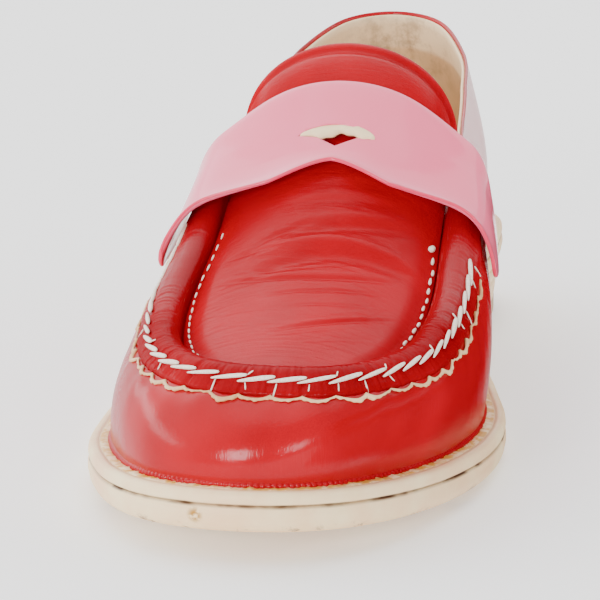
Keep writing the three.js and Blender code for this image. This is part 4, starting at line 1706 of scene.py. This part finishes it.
@dataclass
class SaddleStrap:
    """The strap that lies taut over the instep, with a notch in its front edge and a coin slot."""

    last: Last
    thickness: float = 1.0
    gap: float = 0.15
    tail_height: float = 42.5
    corner_radius: float = 5.0
    front_row: float = 7.15
    back_row: float = 8.55
    notch: float = 4.4
    notch_width: float = 27.0
    slot_width: float = 19.0
    slot_height: float = 7.4
    slot_share: float = 0.42
    lip_thickness: float = 0.6
    columns: int = 169
    lines: int = 37
    eased_by: int = 40

    def bed(self, row: float) -> Points:
        """What the strap lies on at a row: wall, crest, apron, crest and wall.

        Args:
            row: The row.

        Returns:
            Points from the outer welt to the inner one.
        """
        last = self.last

        def side(place: float) -> Points:
            """One wall from the welt up, and the crest over it.

            Args:
                place: The place on the loop.

            Returns:
                Points.
            """
            here = np.array([place])
            wall = [last.wall(here, v)[0][0] for v in (-0.9, *np.linspace(0, 1, 9))]
            return np.array([*wall, last.beside_top(here, 0.4 * last.seam_reach, 0.0)[0]])

        return np.vstack([side(row), last.apron_line(row, np.linspace(-1, 1, 41)), side(-row)[::-1]])

    def taut(self, points: Points) -> Points:
        """The upper side of the convex outline round points, seen from the front, with hanging ends.

        Args:
            points: The points.

        Returns:
            The outline's points by rising X, with an end at the floor below each side.
        """
        order = points[np.lexsort((points[:, 2], points[:, 0]))]
        hull: list[Points] = []
        for point in order:
            while len(hull) > 1:
                a, b = hull[-2], hull[-1]
                if (b[0] - a[0]) * (point[2] - a[2]) - (b[2] - a[2]) * (point[0] - a[0]) < 0:
                    break
                hull.pop()
            hull.append(point)
        ends = [np.array([end[0], end[1], 0.0]) for end in (order[0], order[-1])]
        return np.array([ends[0], *hull, ends[1]])

    def fan(self, share: float) -> tuple[Points, Points, Points]:
        """The directions from the strap's centre line that meet its taut line.

        Args:
            share: How far back across the strap's width.

        Returns:
            Centres, directions and reaches, one for each column.
        """
        last = self.last
        row = self.front_row + (self.back_row - self.front_row) * share
        ends = [last.apron_line(r, np.array([0.0]))[0] for r in (self.front_row, self.back_row)]
        centre = ends[0] + (ends[1] - ends[0]) * share
        centre[2] = self.tail_height
        from_side = min(share, 1 - share) * float(np.linalg.norm(ends[1] - ends[0]))
        corner = max(1 - from_side / self.corner_radius, 0.0)
        rise = self.corner_radius * (1 - math.sqrt(1 - corner * corner))
        lift = math.asin(rise / (0.42 * last.ball_width))
        bed = self.bed(row)
        line = self.taut(bed)
        centres, directions, reaches = [], [], []
        for k, angle in enumerate(np.linspace(math.pi - lift, lift, self.columns)):
            way = (math.cos(angle), math.sin(angle))
            met, reach = self.met_by(line, centre, way)
            to_tail = abs(2 * k / (self.columns - 1) - 1)
            hug = float(smoothstep(to_tail, 0.72, 0.97))
            if hug > 0:
                reach += hug * (self.met_by(bed, centre, way)[1] - reach)
            centres.append((centre[0], met[1], centre[2]))
            directions.append((way[0], 0.0, way[1]))
            reaches.append(reach)
        return np.array(centres), np.array(directions), np.array(reaches)

    def met_by(self, line: Points, centre: Points, way: tuple[float, float]) -> tuple[Points, float]:
        """Where a direction from a centre meets a line, seen from the front.

        Args:
            line: The line's points.
            centre: The centre.
            way: The direction's X and Z.

        Returns:
            The farthest meeting point and its distance from the centre.
        """
        dx, dz = way
        turn = (line[:, 0] - centre[0]) * dz - (line[:, 2] - centre[2]) * dx
        best, reach = line[0], 0.0
        for k in np.nonzero((turn[:-1] <= 0) & (turn[1:] >= 0))[0]:
            met = line[k] + (line[k + 1] - line[k]) * (turn[k] / (turn[k] - turn[k + 1] - 1e-12))
            ahead = (met[0] - centre[0]) * dx + (met[2] - centre[2]) * dz
            if ahead > reach:
                best, reach = met, ahead
        return best, reach

    def smoothed(self, grid: Points, passes: int) -> Points:
        """A grid of numbers averaged with its neighbours.

        Args:
            grid: The numbers.
            passes: How many times.

        Returns:
            The smoother grid.
        """
        for _ in range(passes):
            padded = np.pad(grid, 1, mode="edge")
            grid = (padded[1:-1, :-2] + 2 * padded[1:-1, 1:-1] + padded[1:-1, 2:]) / 4
            padded = np.pad(grid, 1, mode="edge")
            grid = (padded[:-2, 1:-1] + 2 * padded[1:-1, 1:-1] + padded[2:, 1:-1]) / 4
        return grid

    def underside(self) -> Points:
        """The strap's underside, taut over the apron and with its notch pulled back.

        Returns:
            Points by column, line and axis, in millimetres.
        """
        fans = [self.fan(share) for share in np.linspace(0, 1, self.lines)]
        reaches = np.array([reach for _, _, reach in fans])
        eased = reaches
        for _ in range(self.eased_by):
            eased = np.maximum(self.smoothed(eased, 2), reaches)
        eased = self.smoothed(eased, 24)
        eased += max(0.0, float(np.max(reaches - eased))) + self.gap
        points = np.array([c + d * e[:, None] for (c, d, _), e in zip(fans, eased)])
        ahead = unit(points[-1] - points[0])
        across = np.abs(points[0, :, 0] - points[0, self.columns // 2, 0]) / (0.5 * self.notch_width)
        point_of_notch = np.sqrt(across ** 2 + 0.004) - 0.063
        for i, share in enumerate(np.linspace(0, 1, self.lines)):
            pull = self.notch * np.clip(1 - point_of_notch, 0, 1) ** 1.15 * (1 - share) ** 3
            points[i] += ahead * pull[:, None]
        return np.transpose(points, (1, 0, 2))

    def refined(self, grid: Points) -> tuple[Points, Points]:
        """The underside with fine lines added beside its edges.

        Args:
            grid: Points by column, line and axis.

        Returns:
            The finer grid, and each point's distance from the nearest edge and share across.
        """
        beside = np.array([0.0, 0.03, 0.10, 0.20, 0.34, 0.52])
        columns, lines = grid.shape[:2]
        length = lengths_along(grid[:, lines // 2])[-1]
        width = lengths_along(grid[columns // 2])[-1]

        def shares(count: int, size: float) -> Points:
            """Even shares with the fine ones at both ends.

            Args:
                count: How many even shares there are.
                size: The length that they share out, in millimetres.

            Returns:
                Shares from 0 to 1.
            """
            near = beside / size
            even = np.linspace(0, 1, count)
            clear = 1.3 * near[-1]
            return np.concatenate([near, even[(even > clear) & (even < 1 - clear)], 1 - near[::-1]])

        def read(line: Points, at: Points) -> Points:
            """Points at shares of an evenly read line."""
            even = np.linspace(0, 1, len(line))
            return np.stack([np.interp(at, even, line[:, k]) for k in range(3)], axis=-1)

        along, across = shares(columns, length), shares(lines, width)
        crossed = np.stack([read(column, across) for column in grid])
        fine = np.stack([read(crossed[:, j], along) for j in range(len(across))], axis=1)
        side = np.minimum(across, 1 - across) * width
        tail = np.minimum(along, 1 - along) * length
        inside = np.minimum(side[None, :], tail[:, None])
        return fine, np.stack([inside, np.broadcast_to(across, inside.shape)], axis=2)

    def build(self, material: bpy.types.Material, lip: bpy.types.Material) -> None:
        """Builds the strap, cuts its slot and lays the slot's pale lip under it.

        Args:
            material: The strap's leather.
            lip: The lip's leather.
        """
        under = self.underside()
        fine, marks = self.refined(under)
        normal = unit(np.cross(np.gradient(fine, axis=0), np.gradient(fine, axis=1)))
        normal *= np.sign(normal[len(fine) // 2, fine.shape[1] // 2, 2])
        radius = 0.5 * self.thickness
        rounding = np.sqrt(1 - np.clip(1 - marks[:, :, 0] / radius, 0, 1) ** 2)[:, :, None]
        middle = fine + normal * radius
        top, bottom = (middle + normal * rounding * radius * way for way in (1, -1))
        ring = np.concatenate([top, bottom[:, ::-1][:, 1:]], axis=1)
        ring_marks = np.concatenate([marks, marks[:, ::-1][:, 1:]], axis=1)
        bm = formed_sheet(self.last.to_frame(ring), ring_marks)
        piece = put_piece(bm, "pink_saddle_strap", material, ["saddle_strap"])
        place = self.slot_place(under)
        self.cut_slot(piece, place)
        self.build_lip(place, lip)

    def slot_place(self, under: Points) -> Matrix:
        """The place of the slot, flat on the strap.

        Args:
            under: The strap's underside.

        Returns:
            The turn and the middle of the slot in the frame.
        """
        middle = under[self.columns // 2]
        before, after = middle[0], middle[-1]
        centre = before + (after - before) * self.slot_share
        slope = math.atan2(after[2] - before[2], after[1] - before[1])
        nearest = middle[np.argmin(np.abs(middle[:, 1] - centre[1]))]
        return Matrix.Translation(self.last.to_frame(nearest)) @ Matrix.Rotation(slope, 4, "X")

    def slot_outline(self) -> list[tuple[float, float]]:
        """The slot seen square on: a bowed top edge and a shallow V below.

        Returns:
            Places across and up from its middle, in millimetres.
        """
        half, tall, steps = self.slot_width / 2, self.slot_height, 12
        arch = [math.sin(math.pi * k / steps) ** 0.7 for k in range(steps + 1)]
        bow = [(half * (2 * k / steps - 1), 0.1 + 0.44 * tall * rise) for k, rise in enumerate(arch)]
        return [*bow, (0.52 * half, -0.05 * tall), (0.0, -0.46 * tall), (-0.50 * half, -0.09 * tall)]

    def cut_slot(self, piece: bpy.types.Object, place: Matrix) -> None:
        """Cuts the slot through the strap.

        Args:
            piece: The strap.
            place: The slot's place.
        """
        below, tall = -4.0, 12.0
        outline = self.slot_outline()
        bm = bmesh.new()
        corners = bmesh.ops.create_circle(bm, cap_ends=True, segments=len(outline), radius=1.0)["verts"]
        for vert, (x, y) in zip(corners, outline):
            vert.co = Vector((x, y, below)) * MILLIMETRE
        raised = bmesh.ops.extrude_face_region(bm, geom=bm.faces[:])
        lifted = [item for item in raised["geom"] if isinstance(item, bmesh.types.BMVert)]
        bmesh.ops.translate(bm, verts=lifted, vec=(0.0, 0.0, tall * MILLIMETRE))
        faced_out(bm)
        bmesh.ops.transform(bm, matrix=place, verts=bm.verts)
        cutter = new_object(bm, "slot_cutter")
        cut = piece.modifiers.new("slot", "BOOLEAN")
        cut.operation = "DIFFERENCE"
        cut.solver = "EXACT"
        cut.object = cutter
        graph = bpy.context.evaluated_depsgraph_get()
        done = bpy.data.meshes.new_from_object(piece.evaluated_get(graph))
        piece.modifiers.clear()
        piece.data = done
        bpy.data.objects.remove(cutter)
        log.info("slot cut: %d faces", len(done.polygons))

    def build_lip(self, place: Matrix, material: bpy.types.Material) -> None:
        """Builds the pale leather lip that shows in the upper half of the slot.

        Args:
            place: The slot's place.
            material: The lip's leather.
        """
        half, tall = self.slot_width / 2 - 0.2, self.slot_height
        columns, lines = 41, 9
        bm, at = numbered_grid(columns, lines)
        for vert, (i, j) in zip(bm.verts, at):
            across = 2 * i / (columns - 1) - 1
            full = max(1 - across ** 2, 0.0) ** 0.5
            top = 0.1 + 0.47 * tall * max(math.cos(math.pi * across / 2), 0.0) ** 0.7
            sag = 0.16 * math.sin(5.2 * across + 0.6) + 0.05 * math.sin(17 * across)
            low = min(tall * full * (0.06 + 0.8 * sag) - 0.2 * (1 - across), top)
            y = low + (top + 0.5 - low) * j / (lines - 1)
            bulge = math.sin(math.pi * min(j, 6) / 7) ** 0.5
            z = 0.5 + bulge * full - self.lip_thickness * (1 - full)
            vert.co = Vector((half * across, y, z)) * MILLIMETRE
        bmesh.ops.solidify(bm, geom=bm.faces[:], thickness=self.lip_thickness * MILLIMETRE)
        bmesh.ops.transform(bm, matrix=place, verts=bm.verts)
        put_piece(bm, "slot_lip", material)


@dataclass(frozen=True)
class Lamp:
    """A soft oval light in metres, whose glow is the power that a square metre sends out over pi."""

    name: str
    place: tuple[float, float, float]
    aim: tuple[float, float, float]
    size: tuple[float, float]
    glow: float

    def hang(self) -> None:
        """Adds the light to the scene."""
        lamp = bpy.data.lights.new(self.name, "AREA")
        lamp.shape = "ELLIPSE"
        lamp.size, lamp.size_y = self.size
        lamp.energy = self.glow * math.pi * (math.pi / 4 * self.size[0] * self.size[1])
        made = bpy.data.objects.new(self.name, lamp)
        made.location = self.place
        made.rotation_euler = (Vector(self.aim) - Vector(self.place)).to_track_quat("-Z", "Y").to_euler()
        bpy.context.scene.collection.objects.link(made)


LAMPS: tuple[Lamp, ...] = (
    Lamp("back_softbox", (0.0, 0.95, 1.2), (0.0, 0.0, 0.05), (3.0, 1.5), 1.6),
    Lamp("overhead", (0.0, -0.15, 1.35), (0.0, 0.0, 0.03), (1.2, 1.2), 1.2),
    Lamp("strip_outer", (-1.3, 0.2, 0.50), (0.0, 0.0, 0.04), (1.8, 0.22), 6.0),
    Lamp("strip_inner", (1.3, 0.15, 0.50), (0.0, 0.0, 0.04), (1.8, 0.16), 10.0),
    Lamp("lamp_left", (-0.31, -1.3, 0.35), (0.0, -0.12, 0.02), (0.46, 0.38), 26.0),
    Lamp("lamp_right", (0.61, -1.3, 0.33), (0.0, -0.12, 0.02), (0.28, 0.30), 20.0),
)


@dataclass
class Studio:
    """A plain pale floor, soft light and the camera at the photograph's angle."""

    last: Last
    camera_place: tuple[float, float, float] = (131.0, -690.2, 226.6)
    aim: tuple[float, float, float] = (2.0, 70.0, 43.0)
    lens_share: float = 0.80
    seen_width: float = 0.112
    sensor_width: float = 36.0

    def build_floor(self) -> None:
        """Lays the floor."""
        bm = bmesh.new()
        bmesh.ops.create_grid(bm, x_segments=2, y_segments=2, size=6.0)
        floor = new_object(bm, "floor")
        shade = Shading("floor_paper")
        shade.set(
            Base_Color=(0.93, 0.93, 0.93, 1.0),
            Roughness=0.85,
            Specular_IOR_Level=0.1,
            Emission_Color=(1.0, 1.0, 1.0, 1.0),
            Emission_Strength=0.3,
        )
        floor.data.materials.append(shade.material)

    def build_card(self) -> None:
        """Leans a dark card beside the inner side, which keeps the pale floor out of its gloss."""
        bm = bmesh.new()
        turn = Matrix.Rotation(math.radians(90), 4, "Y")
        bmesh.ops.create_grid(bm, x_segments=1, y_segments=1, size=0.5, matrix=turn)
        bmesh.ops.scale(bm, vec=(1.0, 0.34, 0.060), verts=bm.verts)
        bmesh.ops.translate(bm, vec=(0.058, 0.01, 0.031), verts=bm.verts)
        for vert in bm.verts:
            vert.co.x += 0.12 * (vert.co.z - 0.075)
        card = new_object(bm, "dark_card")
        shade = Shading("card_paper")
        shade.set(Base_Color=(0.12, 0.001, 0.002, 1.0), Roughness=0.8, Specular_IOR_Level=0.0)
        card.data.materials.append(shade.material)
        card.visible_camera = False
        card.visible_diffuse = False
        card.visible_shadow = False

    def build_lights(self) -> None:
        """Hangs the lights and sets the surroundings, brighter behind the outer side."""
        for lamp in LAMPS:
            lamp.hang()
        world = bpy.data.worlds.new("surroundings")
        bpy.context.scene.world = world
        world.use_nodes = True
        nodes, links = world.node_tree.nodes, world.node_tree.links
        toward = nodes.new("ShaderNodeVectorMath")
        toward.operation = "DOT_PRODUCT"
        toward.inputs[1].default_value = (-0.86, 0.45, 0.2)
        links.new(nodes.new("ShaderNodeTexCoord").outputs["Generated"], toward.inputs[0])
        ease = nodes.new("ShaderNodeMapRange")
        ease.interpolation_type = "SMOOTHSTEP"
        reach = {"From Min": -0.3, "From Max": 0.95, "To Min": 0.45, "To Max": 2.4}
        for key, value in reach.items():
            ease.inputs[key].default_value = value
        links.new(toward.outputs["Value"], ease.inputs["Value"])
        nodes["Background"].inputs["Color"].default_value = (1, 1, 1, 1)
        links.new(ease.outputs["Result"], nodes["Background"].inputs["Strength"])

    def build_camera(self) -> None:
        """Sets the camera where the photograph was taken from, turned to the one shoe."""
        place, aim = (Vector(p) for p in self.last.to_frame(np.array([self.camera_place, self.aim])))
        lens = bpy.data.cameras.new("camera")
        made = bpy.data.objects.new("camera", lens)
        made.location = place
        made.rotation_euler = (aim - place).to_track_quat("-Z", "Y").to_euler()
        bpy.context.scene.collection.objects.link(made)
        lens.sensor_width = self.sensor_width
        lens.lens = self.sensor_width * (aim - place).length * self.lens_share / self.seen_width
        lens.clip_start = 0.01
        bpy.context.scene.camera = made


def main() -> None:
    """Builds the loafer over its frame, the studio round it, and reports each piece."""
    logging.basicConfig(level=logging.INFO, format="%(name)s: %(message)s")
    log.info("%d solids in the frame", len(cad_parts))
    last = Last()
    patent = RedPatent().build("red_patent", gloss=0.58, back_gloss=0.85)
    wrinkled = RedPatent().build("red_patent_wrinkled", gloss=0.36, streak=0.22, channel=6.0)
    # Painted shade: the seam roll gets a darker copy of the same red patent.
    painted_shade_red = RedPatent(base=(0.33, 0.0001, 0.006, 1.0), deep=(0.25, 0.0001, 0.004, 1.0))
    gathered = painted_shade_red.build("red_patent_gathered", gloss=0.16, back_gloss=0.5)
    thread = WaxedThread().build()

    sole = SoleUnit(last)
    spot = Vector(last.to_frame(np.array(SOLE_SPOT)))
    leather = NaturalLeather()
    sole.build_outsole(leather.build("sole_leather", crack=(0.62, 0.74), scuff=(0.45, 0.27), spot=spot))
    sole.build_welt(leather.build("welt_leather", glued=True, crack=(0.20, 0.12)))
    sole.build_heel(leather.build("heel_leather"), TopLiftRubber().build())
    sole.build_insole(LiningLeather().build("insole_leather"))

    upper = Upper(last)
    upper.build_shell(patent)
    heel_patch = Vector(last.to_frame(np.array(HEEL_PATCH)))
    upper.build_lining(LiningLeather().build("collar_lining_leather", faced=True, patch_at=heel_patch))
    upper.build_seam(gathered)
    upper.build_stitches(thread)
    raw_leather = NaturalLeather(base=(0.86, 0.60, 0.33, 1.0), dark=(0.62, 0.33, 0.14, 1.0))
    upper.build_raw_edge(raw_leather.build("raw_edge_leather"))
    upper.build_foot_scallops(patent)

    ApronTongue(last).build(wrinkled)
    SaddleStrap(last).build(PinkPatent().build(), leather.build("slot_lip_leather"))

    studio = Studio(last)
    studio.build_floor()
    studio.build_card()
    studio.build_lights()
    studio.build_camera()


if __name__ == "__main__":
    main()
